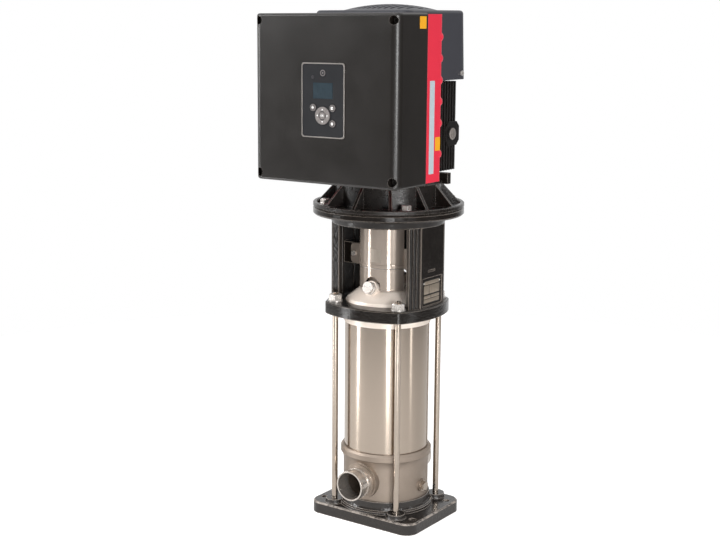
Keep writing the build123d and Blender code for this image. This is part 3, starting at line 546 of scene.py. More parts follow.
@dataclass(frozen=True)
class PressedStage(Finish):
    """Deep-drawn stainless stage parts, bright as pickled."""

    colour: str = "#bab5ae"
    patch: str = "#aca69f"
    roughness: float = 0.30
    metallic: float = 1.0
    grain_depth_mm: float = 0.006


@dataclass(frozen=True)
class BlackenedIron(Finish):
    """Machined iron, oiled and blackened: dark with a dull metal sheen."""

    colour: str = "#3d3a37"
    patch: str = "#302e2b"
    roughness: float = 0.42
    metallic: float = 0.8
    grain_mm: float = 1.2
    edge_mm: float = 0.6


@dataclass(frozen=True)
class SheetLamination(Finish):
    """Stacked electrical sheet: half-millimetre laminations drawn one millimetre apart to show."""

    colour: str = "#5d5a58"
    patch: str = "#454341"
    roughness: float = 0.45
    metallic: float = 0.9
    grain: Grain = Grain.ROUND_Z
    grain_depth_mm: float = 0.08


@dataclass(frozen=True)
class EnamelledCopper(Finish):
    """Coils of enamelled copper wire, dipped in resin: amber brown and glossy."""

    colour: str = "#9a5429"
    patch: str = "#7d3f1c"
    roughness: float = 0.30
    metallic: float = 0.7
    grain: Grain = Grain.ROUND_Z
    grain_mm: float = 1.4
    grain_depth_mm: float = 0.25
    coat: float = 0.6


@dataclass(frozen=True)
class SolderMask(Finish):
    """Glass-fibre board under green solder mask."""

    colour: str = "#1f4d33"
    patch: str = "#2b6343"
    roughness: float = 0.35
    patch_mm: float = 4.0
    grain_mm: float = 0.7
    grain_depth_mm: float = 0.01
    coat: float = 0.3


@dataclass(frozen=True)
class SealRubber(Finish):
    """Pressed black rubber: matt with a faint bloom."""

    colour: str = "#171716"
    patch: str = "#222120"
    roughness: float = 0.75
    patch_mm: float = 12.0
    grain_mm: float = 0.8
    grain_depth_mm: float = 0.03


@dataclass(frozen=True)
class BushPlastic(Finish):
    """Filled bearing plastic: dark and greasy smooth."""

    colour: str = "#2b2926"
    patch: str = "#24221f"
    roughness: float = 0.42
    grain_mm: float = 0.9
    grain_depth_mm: float = 0.01


@dataclass(frozen=True)
class FanPlastic(Finish):
    """Moulded grey-black polypropylene of the fan."""

    colour: str = "#26262a"
    patch: str = "#2c2c30"
    grain_mm: float = 0.7
    grain_depth_mm: float = 0.015


@dataclass(frozen=True)
class HoodPaint(Finish):
    """Deep-drawn sheet hood, powder-coated blue-grey: a shallow orange peel."""

    colour: str = "#38383e"
    patch: str = "#3b3c43"
    roughness: float = 0.44
    rough_swing: float = 0.03
    patch_mm: float = 90.0
    grain_mm: float = 1.8
    edge_mm: float = 0.8
    specular: float = 0.45


@dataclass(frozen=True)
class CoverPaint(Finish):
    """Die-cast cover in warm charcoal fine-texture powder: tiny even pimples, half matt."""

    colour: str = "#13100d"
    patch: str = "#191411"
    roughness: float = 0.34
    rough_swing: float = 0.03
    patch_mm: float = 70.0
    grain_mm: float = 2.2
    grain_depth_mm: float = 0.11
    edge_mm: float = 1.4
    # lighter edge colour: a painted highlight along the cover's rims
    edge: str = "#5a534d"
    specular: float = 0.55


@dataclass(frozen=True)
class RedPlastic(Finish):
    """Moulded signal-red plastic with a soft moulded gloss."""

    colour: str = "#ea2c46"
    patch: str = "#e42841"
    roughness: float = 0.38
    rough_swing: float = 0.03
    patch_mm: float = 50.0
    grain_mm: float = 0.8
    grain_depth_mm: float = 0.008
    edge_mm: float = 1.0


@dataclass(frozen=True)
class BlackPlug(Finish):
    """Black moulded plug, fine spark-eroded skin."""

    colour: str = "#1f1d1d"
    patch: str = "#252323"
    roughness: float = 0.3
    grain_mm: float = 0.7
    edge_mm: float = 0.8


@dataclass(frozen=True)
class RimPlate(Finish):
    """Satin chromed trim of the operating panel."""

    colour: str = "#b7b1ac"
    patch: str = "#aca6a1"
    roughness: float = 0.33
    metallic: float = 0.85
    grain_mm: float = 0.5
    grain_depth_mm: float = 0.004
    edge_mm: float = 0.4


@dataclass(frozen=True)
class PanelFilm(Finish):
    """Back-printed polyester film over the panel: graphite with a fine satin skin."""

    colour: str = "#252629"
    patch: str = "#2a2a2c"
    roughness: float = 0.42
    specular: float = 0.15
    grain_mm: float = 0.5
    grain_depth_mm: float = 0.006


@dataclass(frozen=True)
class DisplayGlass(Finish):
    """Clear window over a dark display: blue-green black and glossy."""

    colour: str = "#2e3b43"
    patch: str = "#333e45"
    roughness: float = 0.14
    rough_swing: float = 0.02
    patch_mm: float = 30.0
    grain_mm: float = 8.0
    grain_depth_mm: float = 0.002
    coat: float = 0.5


@dataclass(frozen=True)
class LampLens(Finish):
    """Frosted lens of the unlit lamp ring."""

    colour: str = "#2f2e31"
    patch: str = "#37363a"
    roughness: float = 0.3
    patch_mm: float = 3.0
    grain_mm: float = 0.4
    grain_depth_mm: float = 0.01
    coat: float = 0.4


@dataclass(frozen=True)
class KeySilicone(Finish):
    """Grey silicone keys, sprayed with a soft lacquer."""

    colour: str = "#7c7674"
    patch: str = "#837d7b"
    roughness: float = 0.42
    patch_mm: float = 8.0
    grain_mm: float = 0.5
    grain_depth_mm: float = 0.01
    edge_mm: float = 0.4


@dataclass(frozen=True)
class SignPrint(Finish):
    """White screen print on the keys, slightly raised and matt."""

    colour: str = "#ffffff"
    patch: str = "#f4f2f0"
    patch_mm: float = 3.0
    grain_mm: float = 0.3
    grain_depth_mm: float = 0.004


@dataclass(frozen=True)
class SilverFilm(Finish):
    """Bare silver polyester sticker: pale, faintly brushed and slightly wavy."""

    colour: str = "#a3998e"
    patch: str = "#968c81"
    roughness: float = 0.42
    metallic: float = 0.5
    patch_mm: float = 9.0
    grain_mm: float = 0.6
    grain_depth_mm: float = 0.01


@dataclass(frozen=True)
class PaleFilm(SilverFilm):
    """Bare pale-blue vinyl strip, matt."""

    colour: str = "#c4cfd6"
    patch: str = "#b6c1c9"
    metallic: float = 0.0


@dataclass(frozen=True)
class CapMetal(Finish):
    """Dull grey screw cap of the motor's side boss."""

    colour: str = "#968f89"
    patch: str = "#857e78"
    roughness: float = 0.38
    metallic: float = 0.5
    patch_mm: float = 6.0
    grain_mm: float = 1.2


@dataclass(frozen=True)
class YellowFilm(Finish):
    """Bare yellow vinyl sticker with a low gloss."""

    colour: str = "#f9b31c"
    patch: str = "#f2aa15"
    roughness: float = 0.38
    patch_mm: float = 10.0
    grain_mm: float = 0.6
    grain_depth_mm: float = 0.006


@dataclass(frozen=True)
class EtchedPlate(Finish):
    """Thin stainless plate, left blank, with dark etched field lines round pale cells."""

    colour: str = "#b0a393"
    patch: str = "#978a7b"
    roughness: float = 0.4
    metallic: float = 0.6
    patch_mm: float = 7.0
    grain_mm: float = 0.5
    grain_depth_mm: float = 0.01


# ---- mesh helpers
def settle(mesh: Mesh, name: str, finish: Finish, body: str = BODY,
           sharp_deg: float = 35.0) -> bpy.types.Object:
    """Turns a bmesh into a named piece that rides on a CAD body.

    Args:
        mesh: The shape, in metres in the shared frame; it is freed here.
        name: Name of the piece.
        finish: Its surface.
        body: CAD body that it moves with.
        sharp_deg: Edges steeper than this stay sharp.

    Returns:
        The piece.
    """
    bmesh.ops.remove_doubles(mesh, verts=mesh.verts, dist=WELD_M)
    bmesh.ops.recalc_face_normals(mesh, faces=mesh.faces)
    data = bpy.data.meshes.new(name)
    mesh.to_mesh(data)
    mesh.free()
    data.shade_smooth()
    data.set_sharp_from_angle(angle=math.radians(sharp_deg))
    data.materials.append(finish.material())
    piece = placed(name, data)
    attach(piece, body)
    LOG.info("piece %s: %d faces on %s", name, len(data.polygons), body)
    return piece


def spun(mesh: Mesh, profile: Sequence[Point], place: Matrix, segments: int = 48) -> None:
    """Spins a closed or axis-to-axis profile of (radius, height) points about Z.

    Args:
        mesh: Mesh that gets the turned part.
        profile: Radius and height pairs in millimetres; a radius of zero closes a pole.
        place: Where the turned part's own frame stands, in metres.
        segments: Steps round.
    """
    known = set(mesh.verts)
    line = [mesh.verts.new((r * MM, 0.0, h * MM)) for r, h in profile]
    edges = [mesh.edges.new(pair) for pair in zip(line, line[1:])]
    if profile[0][0] > 0 and profile[-1][0] > 0:
        edges.append(mesh.edges.new((line[-1], line[0])))
    bmesh.ops.spin(mesh, geom=line + edges, **ABOUT_Z, angle=math.tau, steps=segments,
                   use_merge=True, use_duplicate=False)
    made = [v for v in mesh.verts if v not in known]
    bmesh.ops.remove_doubles(mesh, verts=made, dist=WELD_M / 10)
    made = [v for v in mesh.verts if v not in known]
    bmesh.ops.transform(mesh, matrix=place, verts=made)


def arc(mesh: Mesh, line: Sequence[Any], edges: Sequence[Any], start: float, sweep: float,
        steps: int, merge: bool = False) -> None:
    """Turns an outline to where an arc starts, and spins it on about Z.

    Args:
        mesh: Mesh that holds the outline.
        line: The outline's vertices.
        edges: Its edges.
        start: Where the arc starts, in degrees from the right.
        sweep: How far it runs, in degrees.
        steps: Steps along it.
        merge: Whether its ends meet.
    """
    bmesh.ops.rotate(mesh, cent=(0, 0, 0), verts=line,
                     matrix=Matrix.Rotation(math.radians(start), 3, "Z"))
    bmesh.ops.spin(mesh, geom=[*line, *edges], **ABOUT_Z, angle=math.radians(sweep),
                   steps=steps, use_merge=merge, use_duplicate=False)


def slab(mesh: Mesh, size: Sequence[float], place: Matrix, corner: float, rim: float) -> None:
    """Adds a flat plate with rounded corners and softened rims, lying in its own XY plane.

    Args:
        mesh: Mesh that gets the plate.
        size: Width, height and thickness in millimetres.
        place: Where the middle of the plate stands, in metres.
        corner: Corner radius in millimetres.
        rim: Rim radius in millimetres.
    """
    known = set(mesh.verts)
    made = bmesh.ops.create_cube(mesh, size=1.0)["verts"]
    bmesh.ops.scale(mesh, vec=[s * MM for s in size], verts=made)
    even = {"offset_type": "OFFSET", "profile": 0.5, "affect": "EDGES", "material": -1}
    upright = [e for e in mesh.edges if e.verts[0] in made
               and abs(e.verts[0].co.z - e.verts[1].co.z) > size[2] * MM / 2]
    bmesh.ops.bevel(mesh, geom=upright, offset=corner * MM, segments=6, **even)
    if rim > 0:
        fresh = [v for v in mesh.verts if v not in known]
        rims = [e for e in mesh.edges if e.verts[0] in fresh and len(e.link_faces) == 2
                and abs(e.calc_face_angle(0.0)) > RIM_ANGLE]
        bmesh.ops.bevel(mesh, geom=rims, offset=rim * MM, segments=2, **even)
    made = [v for v in mesh.verts if v not in known]
    bmesh.ops.transform(mesh, matrix=place, verts=made)


def stand(x: float, y: float, z: float, turn: Optional[Matrix] = None) -> Matrix:
    """Returns a place in millimetres, with an optional turn before it."""
    place = Matrix.Translation(Vector((x, y, z)) * MM)
    return place @ turn if turn is not None else place


FACING_FRONT = Matrix.Rotation(math.radians(90), 4, "X")
FACING_RIGHT = Matrix.Rotation(math.radians(90), 4, "Z") @ FACING_FRONT


def coat_nodes(finishes: dict[Finish, str]) -> None:
    """Gives CAD nodes their finish.

    Args:
        finishes: Names of nodes, with spaces between them, by finish.
    """
    for finish, names in finishes.items():
        for name in names.split():
            node = frame["nodes"][name]
            node.data.materials.clear()
            node.data.materials.append(finish.material())
            LOG.info("node %s: %s", name, finish.name)


# ---- sub-assemblies
@dataclass
class WetEnd:
    """Base plate, pump base, sleeve, stay bolts and the stages inside."""

    rod_offset: float = 75.0
    rod_radius: float = 6.0
    rod_bottom: float = 8.5
    thread_from: float = 449.0
    rod_top: float = 464.0
    thread_pitch: float = 1.75
    thread_depth: float = 0.95
    thread_steps: int = 24
    thread_run_in: float = 0.2
    thread_run_out: float = 1.6
    thread_corners: Sequence[float] = (0.0, 0.42, 0.52, 0.94)
    root_sink: float = 0.1
    crest_drop: float = 0.05
    end_chamfer: Point = (0.8, 0.6)

    def build(self) -> None:
        """Coats the nodes and adds the stay bolts with their threads."""
        coat_nodes({
            PlatePaint(): "base_plate", PortCasting(): "pump_base", HeadCasting(): "pump_head",
            BrushedSleeve(): "outer_sleeve", SealRubber(): "sleeve_seals",
            DrawnBar(): "drain_plug tie_rods", TurnedSteel(): "shaft_nut pump_shaft",
            ZincSteel(): "tie_rod_washers tie_rod_nuts vent_plug",
            BushPlastic(): "neck_rings shaft_bush seal_seat",
            PressedStage(): "stage_chambers seal_rotor impeller_1 impeller_2 impeller_3 "
                            "impeller_4 impeller_5 impeller_6"})
        self.stay_bolts()

    def stay_bolts(self) -> None:
        """Makes the four stay bolts, turned down and threaded at the top."""
        core = self.rod_radius - self.thread_depth
        inward, down = self.end_chamfer
        mesh = bmesh.new()
        for sx, sy in ((-1, -1), (-1, 1), (1, -1), (1, 1)):
            place = stand(sx * self.rod_offset, sy * self.rod_offset, 0)
            spun(mesh, [(0, self.rod_bottom), (self.rod_radius, self.rod_bottom),
                        (self.rod_radius, self.thread_from - 1), (core, self.thread_from),
                        (core, self.rod_top - down), (core - inward, self.rod_top),
                        (0, self.rod_top)], place, 40)
            self.thread(mesh, core, place)
        piece = settle(mesh, "threaded_stay_bolts", DrawnBar())
        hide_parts("tie_rods")

    def thread(self, mesh: Mesh, core: float, place: Matrix) -> None:
        """Winds a thread round the top of one bolt.

        Args:
            mesh: Mesh of the bolts.
            core: Core radius in millimetres.
            place: Where the bolt stands.
        """
        known = set(mesh.verts)
        low = self.thread_from + self.thread_run_in
        root, crest = core - self.root_sink, self.rod_radius - self.crest_drop
        rise = self.thread_pitch
        line = [mesh.verts.new((r * MM, 0, (low + part * rise) * MM))
                for r, part in zip((root, crest, crest, root), self.thread_corners)]
        edges = [mesh.edges.new(pair) for pair in zip(line, line[1:])]
        turns = int((self.rod_top - self.thread_run_out - low) / rise)
        bmesh.ops.spin(mesh, geom=line + edges, **ABOUT_Z, angle=math.tau * turns,
                       dvec=(0, 0, rise * MM / self.thread_steps),
                       steps=self.thread_steps * turns, use_merge=False, use_duplicate=False)
        made = [v for v in mesh.verts if v not in known]
        bmesh.ops.transform(mesh, matrix=place, verts=made)


@dataclass
class StoolAndGuards:
    """Motor stool, coupling and the sheet guards, with the blank plate on the stool."""

    plate_face_x: float = 103.0
    plate_z: float = 475.8
    plate_size: tuple[float, float] = (62.0, 48.0)
    plate_thick: float = 0.8
    fields: Sequence[Four] = (
        (-26.5, 14.5, 26.5, 21.5), (-28.5, -4.0, -9.0, 12.8), (-7.6, -4.0, 28.5, 12.8),
        (-28.5, -13.2, -3.0, -7.2), (-1.6, -13.2, 28.5, -7.2), (-28.5, -21.5, 28.5, -14.4))
    plate_gap: float = 0.05
    plate_corner: float = 2.5
    plate_rim: float = 0.15
    cell_thick: float = 0.3
    cell_corner: float = 0.8
    cell_rim: float = 0.08
    rivet_inset: float = 2.2
    rivet_high: float = 18.0
    rivet_profile: Sequence[Point] = ((1.9, -0.3), (1.9, 0.25), (1.5, 0.75), (0.7, 1.0), (0, 1.05))
    guard_radius: float = 56.0
    patch_gap: float = 0.12
    patch_thick: float = 0.1
    patch_arc: Point = (-95.0, 24.0)
    patch_low: float = 530.0
    patch_high: float = 556.0
    seam_z: float = 517.0
    seam_bead: float = 0.7
    seam_arc: Point = (-165.0, 150.0)

    def build(self) -> None:
        """Coats the nodes and adds the blank plate and the guard's sticker and bead."""
        coat_nodes({
            StoolPaint(): "motor_stool",
            GuardSheet(): "coupling_guard_front coupling_guard_rear",
            ZincSteel(): "guard_screws coupling_screws flange_bolts",
            BlackenedIron(): "coupling_half_front coupling_half_rear"})
        self.blank_plate()
        self.guard_sticker()
        self.guard_seam()

    def blank_plate(self) -> None:
        """Makes the blank field plate in the stool's recess, and its two rivets."""
        wide, tall = self.plate_size
        face = self.plate_thick / 2
        middle = stand(self.plate_face_x + face + self.plate_gap, 0, self.plate_z, FACING_RIGHT)
        mesh = bmesh.new()
        slab(mesh, (wide, tall, self.plate_thick), middle, self.plate_corner, self.plate_rim)
        settle(mesh, "blank_field_plate_ground", BlackenedIron())
        cells = bmesh.new()
        for x0, y0, x1, y1 in self.fields:
            at = stand((x0 + x1) / 2, (y0 + y1) / 2, face)
            slab(cells, (x1 - x0, y1 - y0, self.cell_thick), middle @ at, self.cell_corner,
                 self.cell_rim)
        settle(cells, "blank_field_plate_cells", EtchedPlate())
        rivets = bmesh.new()
        for side in (-1, 1):
            at = stand(side * (wide / 2 - self.rivet_inset), self.rivet_high, face)
            spun(rivets, self.rivet_profile, middle @ at, 20)
        settle(rivets, "blank_field_plate_rivets", ZincSteel())

    def guard_sticker(self) -> None:
        """Makes the bare silver sticker wrapped on the front guard."""
        mesh = bmesh.new()
        radius = self.guard_radius + self.patch_gap
        line = [mesh.verts.new((radius * MM, 0, z * MM)) for z in (self.patch_low, self.patch_high)]
        arc(mesh, line, [mesh.edges.new(line)], *self.patch_arc, 16)
        bmesh.ops.recalc_face_normals(mesh, faces=mesh.faces)
        bmesh.ops.solidify(mesh, geom=mesh.faces[:], thickness=self.patch_thick * MM)
        settle(mesh, "guard_bare_sticker", SilverFilm())

    def guard_seam(self) -> None:
        """Makes the rolled bead where the guard's upper sheet laps over its lower one."""
        mesh = bmesh.new()
        place = stand(self.guard_radius, 0, self.seam_z, FACING_FRONT)
        bmesh.ops.create_circle(mesh, radius=self.seam_bead * MM, segments=8, matrix=place)
        arc(mesh, mesh.verts[:], mesh.edges[:], *self.seam_arc, 48)
        bmesh.ops.holes_fill(mesh, edges=mesh.edges)
        settle(mesh, "guard_seam_bead", RimPlate())


@dataclass
class MotorDressing:
    """Motor frame, end shields, fan and hood, with the cap on the side boss."""

    cap_place: Way = (105.5, 66.0, 780.0)
    cap_profile: Sequence[Point] = (
        (0, -0.1), (11.5, -0.1), (11.5, 0.6), (10.6, 1.5), (8.4, 2.1), (7.6, 1.7), (6.4, 1.7),
        (5.6, 2.4), (2.6, 2.9), (0, 3.0))

    def build(self) -> None:
        """Coats the nodes and adds the side boss's cap."""
        coat_nodes({
            ShieldPaint(): "motor_flange", MotorPaint(): "stator_housing upper_end_shield",
            SheetLamination(): "stator_core rotor_core", EnamelledCopper(): "stator_windings",
            TurnedSteel(): "motor_shaft bearing_outer_rings bearing_inner_rings",
            FanPlastic(): "cooling_fan", HoodPaint(): "fan_hood", ZincSteel(): "hood_screws"})
        mesh = bmesh.new()
        spun(mesh, self.cap_profile, stand(*self.cap_place, FACING_RIGHT), 48)
        settle(mesh, "side_boss_cap", CapMetal())


@dataclass
class ControlBox:
    """Converter frame, cover, stickers and cover screws."""

    side_x: float = 162.5
    film: float = 0.2
    film_corner: float = 1.5

    def build(self) -> None:
        """Coats the nodes and adds the bare stickers."""
        coat_nodes({
            RedPlastic(): "converter_frame", CoverPaint(): "control_cover",
            BlackenedIron(): "cover_screws", BlackPlug(): "blanking_plugs",
            SolderMask(): "circuit_boards"})
        self.sticker("side_strip_bare", (-105.5, 805.5), (17.0, 171.0), PaleFilm())
        self.sticker("frame_patch_bare", (-84.0, 774.5), (17.0, 25.0), YellowFilm())
        self.sticker("cover_patch_bare", (-140.0, 996.0), (22.0, 22.0), YellowFilm())

    def sticker(self, name: str, middle: Point, size: Point, finish: Finish) -> None:
        """Makes one bare sticker on the box's right side.

        Args:
            name: Name of the piece.
            middle: Its middle along Y and in height, in millimetres.
            size: Its width and height in millimetres.
            finish: Its surface.
        """
        mesh = bmesh.new()
        place = stand(self.side_x + self.film / 2, *middle, FACING_RIGHT)
        slab(mesh, (*size, self.film), place, self.film_corner, 0.0)
        settle(mesh, name, finish)


@dataclass
class OperatingPanel:
    """Panel with its rim, display, lamp ring and keys, each key with its sign."""

    pad_z: float = 827.4
    key_face: float = -223.6
    ok_face: float = -224.0
    print_thick: float = 0.08
    arrow_reach: float = 11.3
    # dark rings and arcs of painted shade for the gaps round the keys
    key_ring: Point = (4.1, 5.1)
    pad_ring: Point = (7.1, 8.3)
    pad_arc: float = 72.0
    arrow: Sequence[Point] = ((-1.9, -1.2), (1.9, -1.2), (0, 1.7))
    ok_height: float = 4.6
    ok_bold: float = 0.12
    lamp_y: float = -222.3
    lamp_z: float = 905.2
    signs: dict[str, Sequence[Point]] = field(default_factory=lambda: {
        "left_key": [(-2.6, 0), (0.6, -2.8), (0.6, -1.1), (2.6, -1.1), (2.6, 1.1), (0.6, 1.1),
                     (0.6, 2.8)],
        "right_key": [(-2.4, -2.2), (2.4, -2.2), (2.4, -0.8), (-0.8, -0.8), (-0.8, 0.8), (2.4, 0.8),
                      (2.4, 2.2), (-2.4, 2.2)],
        "home_key": [(-1.9, -2.4), (1.9, -2.4), (1.9, 0.2), (2.8, 0.2), (0, 2.8), (-2.8, 0.2),
                     (-1.9, 0.2)],
    })
    key_places: dict[str, Point] = field(default_factory=lambda: {
        "left_key": (-22.0, 841.7), "right_key": (22.0, 841.7), "home_key": (22.0, 813.4)})

    def build(self) -> None:
        """Coats the nodes, prints the keys' signs and paints shade rings round the keys."""
        ways = ("up", "right", "down", "left")
        keys = [*self.key_places, "ok_key", *(f"arrow_key_{way}" for way in ways)]
        coat_nodes({
            RimPlate(): "panel_frame", PanelFilm(): "panel_face", DisplayGlass(): "display_window",
            LampLens(): "status_lights", KeySilicone(): " ".join(keys)})
        for key, outline in self.signs.items():
            self.sign(key, outline, self.key_places[key])
        for index, way in enumerate(ways):
            angle = math.radians(90 * index)
            place = (self.arrow_reach * math.sin(angle),
                     self.pad_z + self.arrow_reach * math.cos(angle))
            turned = [(px * math.cos(angle) + pz * math.sin(angle),
                       pz * math.cos(angle) - px * math.sin(angle)) for px, pz in self.arrow]
            self.sign(f"arrow_key_{way}", turned, place)
            self.ring_print(f"arrow_key_{way}", (0.0, self.pad_z), self.pad_ring,
                            90 * (1 - index) - self.pad_arc / 2, self.pad_arc)
        for key, place in self.key_places.items():
            self.ring_print(key, place, self.key_ring, 0, 360)
        self.ok_sign()
        self.lamp_ring()

    def ring_print(self, key: str, middle: Point, radii: Point, start: float,
                   sweep: float) -> None:
        """Paints a dark ring or arc on a key as painted shade for the gap round it, so that it
        moves with it.

        Args:
            key: Key node, whose body has the same name.
            middle: The ring's middle, across and in height.
            radii: Inner and outer radius in millimetres.
            start: Where the arc begins, in degrees from the right.
            sweep: How far it runs, in degrees.
        """
        mesh = bmesh.new()
        (inner, outer), thick = radii, self.print_thick
        line = [mesh.verts.new((r * MM, 0, h * MM))
                for r, h in ((inner, 0), (outer, 0), (outer, thick), (inner, thick))]
        edges = [mesh.edges.new(pair) for pair in zip(line, line[1:] + line[:1])]
        arc(mesh, line, edges, start, sweep, max(12, round(sweep / 9)), merge=sweep == 360)
        bmesh.ops.holes_fill(mesh, edges=mesh.edges)
        place = stand(middle[0], self.key_face, middle[1], FACING_FRONT)
        bmesh.ops.transform(mesh, matrix=place, verts=mesh.verts)
        settle(mesh, f"{key}_ring", PanelFilm(), self.body_of(key))

    def sign(self, key: str, outline: Sequence[Point], middle: Point) -> None:
        """Prints one raised sign on a key, so that it moves with it.

        Args:
            key: Key node, whose body has the same name.
            outline: The sign's corners in millimetres, in its own XY plane.
            middle: The sign's middle, across and in height.
        """
        mesh = bmesh.new()
        face = mesh.faces.new([mesh.verts.new((x * MM, y * MM, 0.0)) for x, y in outline])
        raised = bmesh.ops.extrude_face_region(mesh, geom=[face])["geom"]
        top = [g for g in raised if isinstance(g, bmesh.types.BMVert)]
        bmesh.ops.translate(mesh, vec=(0, 0, self.print_thick * MM), verts=top)
        place = stand(middle[0], self.key_face, middle[1], FACING_FRONT)
        bmesh.ops.transform(mesh, matrix=place, verts=mesh.verts)
        settle(mesh, f"{key}_sign", SignPrint(), self.body_of(key))

    def body_of(self, node: str) -> str:
        """Returns the CAD body that a node belongs to."""
        for body, members in frame["record"]["behaviour"]["bodies"].items():
            if node in members:
                return body
        return BODY

    def ok_sign(self) -> None:
        """Prints OK on the middle key."""
        curve = bpy.data.curves.new("ok_text", "FONT")
        curve.body = "OK"
        curve.size = self.ok_height * MM
        curve.align_x = curve.align_y = "CENTER"
        curve.extrude = self.print_thick / 2 * MM
        curve.offset = self.ok_bold * MM
        holder = placed("ok_text", curve)
        bpy.context.view_layer.update()
        solid = bpy.data.meshes.new_from_object(holder)
        mesh = bmesh.new()
        mesh.from_mesh(solid)
        bpy.data.objects.remove(holder)
        place = stand(0, self.ok_face - self.print_thick / 2, self.pad_z, FACING_FRONT)
        bmesh.ops.transform(mesh, matrix=place, verts=mesh.verts)
        settle(mesh, "ok_key_sign", SignPrint(), self.body_of("ok_key"))

    def lamp_ring(self) -> None:
        """Makes the printed ring and dot round the lamp."""
        mesh = bmesh.new()
        place = stand(0, self.lamp_y, self.lamp_z, FACING_FRONT)
        spun(mesh, [(4.4, 0), (5.6, 0), (5.5, 0.15), (4.5, 0.15)], place, 40)
        spun(mesh, [(0, 0.15), (1.3, 0.15), (1.4, 0), (0, 0)], place, 20)
        settle(mesh, "lamp_ring_print", KeySilicone())


# ---- studio
@dataclass
class SoftBox:
    """A soft lamp that faces the object's axis, a little above its own height or lower."""

    name: str
    azimuth: float
    middle: float
    distance: float
    width: float
    height: float
    watts: float
    aim_above: float = 0.1
    aim_highest: float = 0.55

    def build(self) -> None:
        """Hangs the lamp, facing the object's axis."""
        lamp = bpy.data.lights.new(self.name, "AREA")
        lamp.shape = "RECTANGLE"
        lamp.size, lamp.size_y = self.width, self.height
        lamp.energy = self.watts
        holder = placed(self.name, lamp)
        x, y, _ = heading(self.azimuth)
        holder.location = (x * self.distance, y * self.distance, self.middle)
        aim_z = min(self.middle + self.aim_above, self.aim_highest)
        holder.rotation_mode = "QUATERNION"
        holder.rotation_quaternion = (Vector((0, 0, aim_z)) - holder.location).to_track_quat(
            "-Z", "Y")
        holder.visible_camera = False


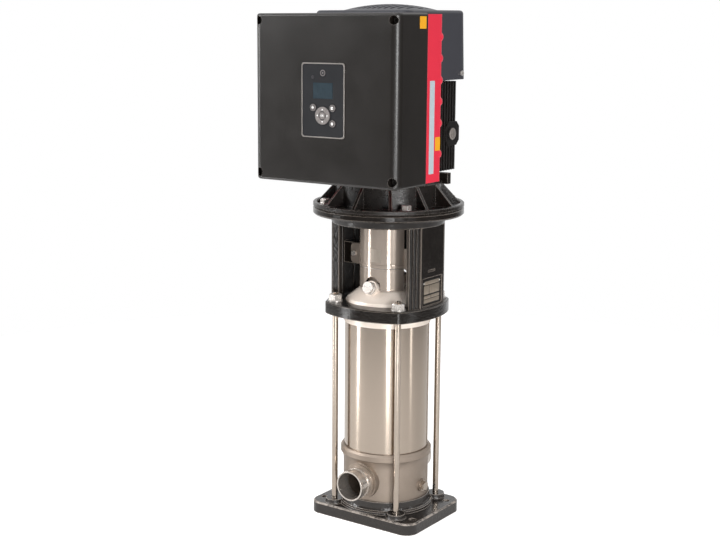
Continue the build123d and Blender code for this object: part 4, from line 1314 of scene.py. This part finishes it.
@dataclass
class Studio:
    """White sweep, soft lamps and the camera."""

    eye: Way = (1.43506, -2.18169, 0.99906)
    turn: float = 36.85
    tilt: float = 9.91
    lens: float = 65.9965
    shift: tuple[float, float] = (0.0722, -0.02593)
    floor_radius: float = 1.9
    floor_drop: float = 0.0005
    floor_lift: float = 0.76
    mirror_lift: float = 0.34
    fill: float = 0.36
    room: float = 0.15
    behind_span: Point = (0.5, 0.9)
    above_span: Point = (0.0, 0.5)
    card_places: Sequence[Four] = (
        (-95.0, 0.82, 0.95, 0.6), (6.0, 0.88, 0.97, 0.28), (78.0, 0.975, 0.995, 0.4))
    boxes: Sequence[SoftBox] = (
        SoftBox("key_left", -50.0, 1.75, 2.6, 0.7, 1.0, 28.0),
        SoftBox("wing_left", -62.0, 1.0, 3.0, 0.4, 0.8, 18.0),
        SoftBox("strip_left", -47.0, 0.2, 1.25, 0.11, 0.44, 2.7),
        SoftBox("key_front", 37.5, 0.3, 1.25, 0.17, 0.68, 3.7),
        SoftBox("edge_front", 57.0, 1.0, 3.3, 0.8, 0.7, 55.0),
        SoftBox("side_right", 100.0, 0.2, 1.25, 0.08, 0.44, 0.42),
        SoftBox("top", 0.0, 2.9, 1.0, 1.6, 1.6, 18.0),
    )

    def build(self) -> None:
        """Makes the lamps, the world, the floor and the camera."""
        for box in self.boxes:
            box.build()
        self.world()
        self.floor()
        self.camera()
        bpy.context.scene.view_settings.view_transform = "Standard"

    def world(self) -> None:
        """Makes a white surround, greyer on the camera's side, that fills the shadows softly."""
        world = bpy.data.worlds.new("sweep")
        bpy.context.scene.world = world
        tree = fresh_tree(world)
        camera_ray, mirrored = rays(tree)
        ways = add_node(tree, "ShaderNodeTexCoord").outputs["Generated"]
        behind = self.toward(tree, ways, heading(self.turn + 180), self.behind_span)
        sweep = self.toward(tree, ways, (0.0, 0.0, 1.0), self.above_span)
        for side in (behind, *self.cards(tree, ways)):
            sweep = maths(tree, "MAXIMUM", sweep, side)
        glow = add_node(tree, "ShaderNodeMix", None, {2: self.fill}, {0: mirrored, 3: sweep})
        level = maths(tree, "MAXIMUM", glow.outputs[0], camera_ray)
        light = add_node(tree, "ShaderNodeBackground", None, {"Color": (1, 1, 1, 1)},
                         {"Strength": level})
        add_node(tree, "ShaderNodeOutputWorld", links={"Surface": light.outputs[0]})

    def cards(self, tree: Tree, ways: Socket) -> list[Socket]:
        """Returns the brightness of the pale cards that bright metal mirrors."""
        return [self.toward(tree, ways, heading(azimuth), (start, end), level)
                for azimuth, start, end, level in self.card_places]

    def toward(self, tree: Tree, ways: Socket, side: Way, span: Point,
               level: float = 1.0) -> Socket:
        """Returns the brightness from the room's own to a level, as rays turn to one side."""
        lean = add_node(tree, "ShaderNodeVectorMath", {"operation": "DOT_PRODUCT"},
                        {1: side}, {0: ways}).outputs["Value"]
        return remap(tree, lean, span, (self.room, level), "SMOOTHSTEP")

    def floor(self) -> None:
        """Lays the round pale floor, which keeps the object's soft shadow."""
        mesh = bmesh.new()
        bmesh.ops.create_circle(mesh, cap_ends=True, radius=self.floor_radius, segments=96)
        data = bpy.data.meshes.new("floor")
        mesh.to_mesh(data)
        mesh.free()
        sheet = placed("floor", data)
        sheet.location.z = -self.floor_drop
        paint = bpy.data.materials.new("floor_paper")
        tree = fresh_tree(paint)
        camera_ray, mirrored = rays(tree)
        faint = maths(tree, "MULTIPLY", mirrored, self.mirror_lift)
        level = add_node(tree, "ShaderNodeMix", None, {3: self.floor_lift},
                         {0: camera_ray, 2: faint})
        matt = add_node(tree, "ShaderNodeBsdfDiffuse", values={"Color": linear("#e4e3e2")})
        lift = add_node(tree, "ShaderNodeEmission", links={"Strength": level.outputs[0]})
        both = add_node(tree, "ShaderNodeAddShader", links={0: matt.outputs[0], 1: lift.outputs[0]})
        add_node(tree, "ShaderNodeOutputMaterial", links={"Surface": both.outputs[0]})
        data.materials.append(paint)

    def camera(self) -> None:
        """Sets the camera in its place."""
        data = bpy.data.cameras.new("camera")
        data.sensor_width = 36.0
        data.lens = self.lens
        data.shift_x, data.shift_y = self.shift
        data.clip_start, data.clip_end = 0.05, 100.0
        holder = placed("camera", data)
        holder.location = self.eye
        holder.rotation_euler = (math.radians(90 - self.tilt), 0, math.radians(self.turn))
        bpy.context.scene.camera = holder


def main() -> None:
    """Builds the studio and every sub-assembly, in order."""
    logging.basicConfig(level=logging.INFO, format="%(name)s: %(message)s")
    for part in (Studio(), WetEnd(), StoolAndGuards(), MotorDressing(), ControlBox(),
                 OperatingPanel()):
        LOG.info("building %s", type(part).__name__)
        part.build()


if __name__ == "__main__":
    main()
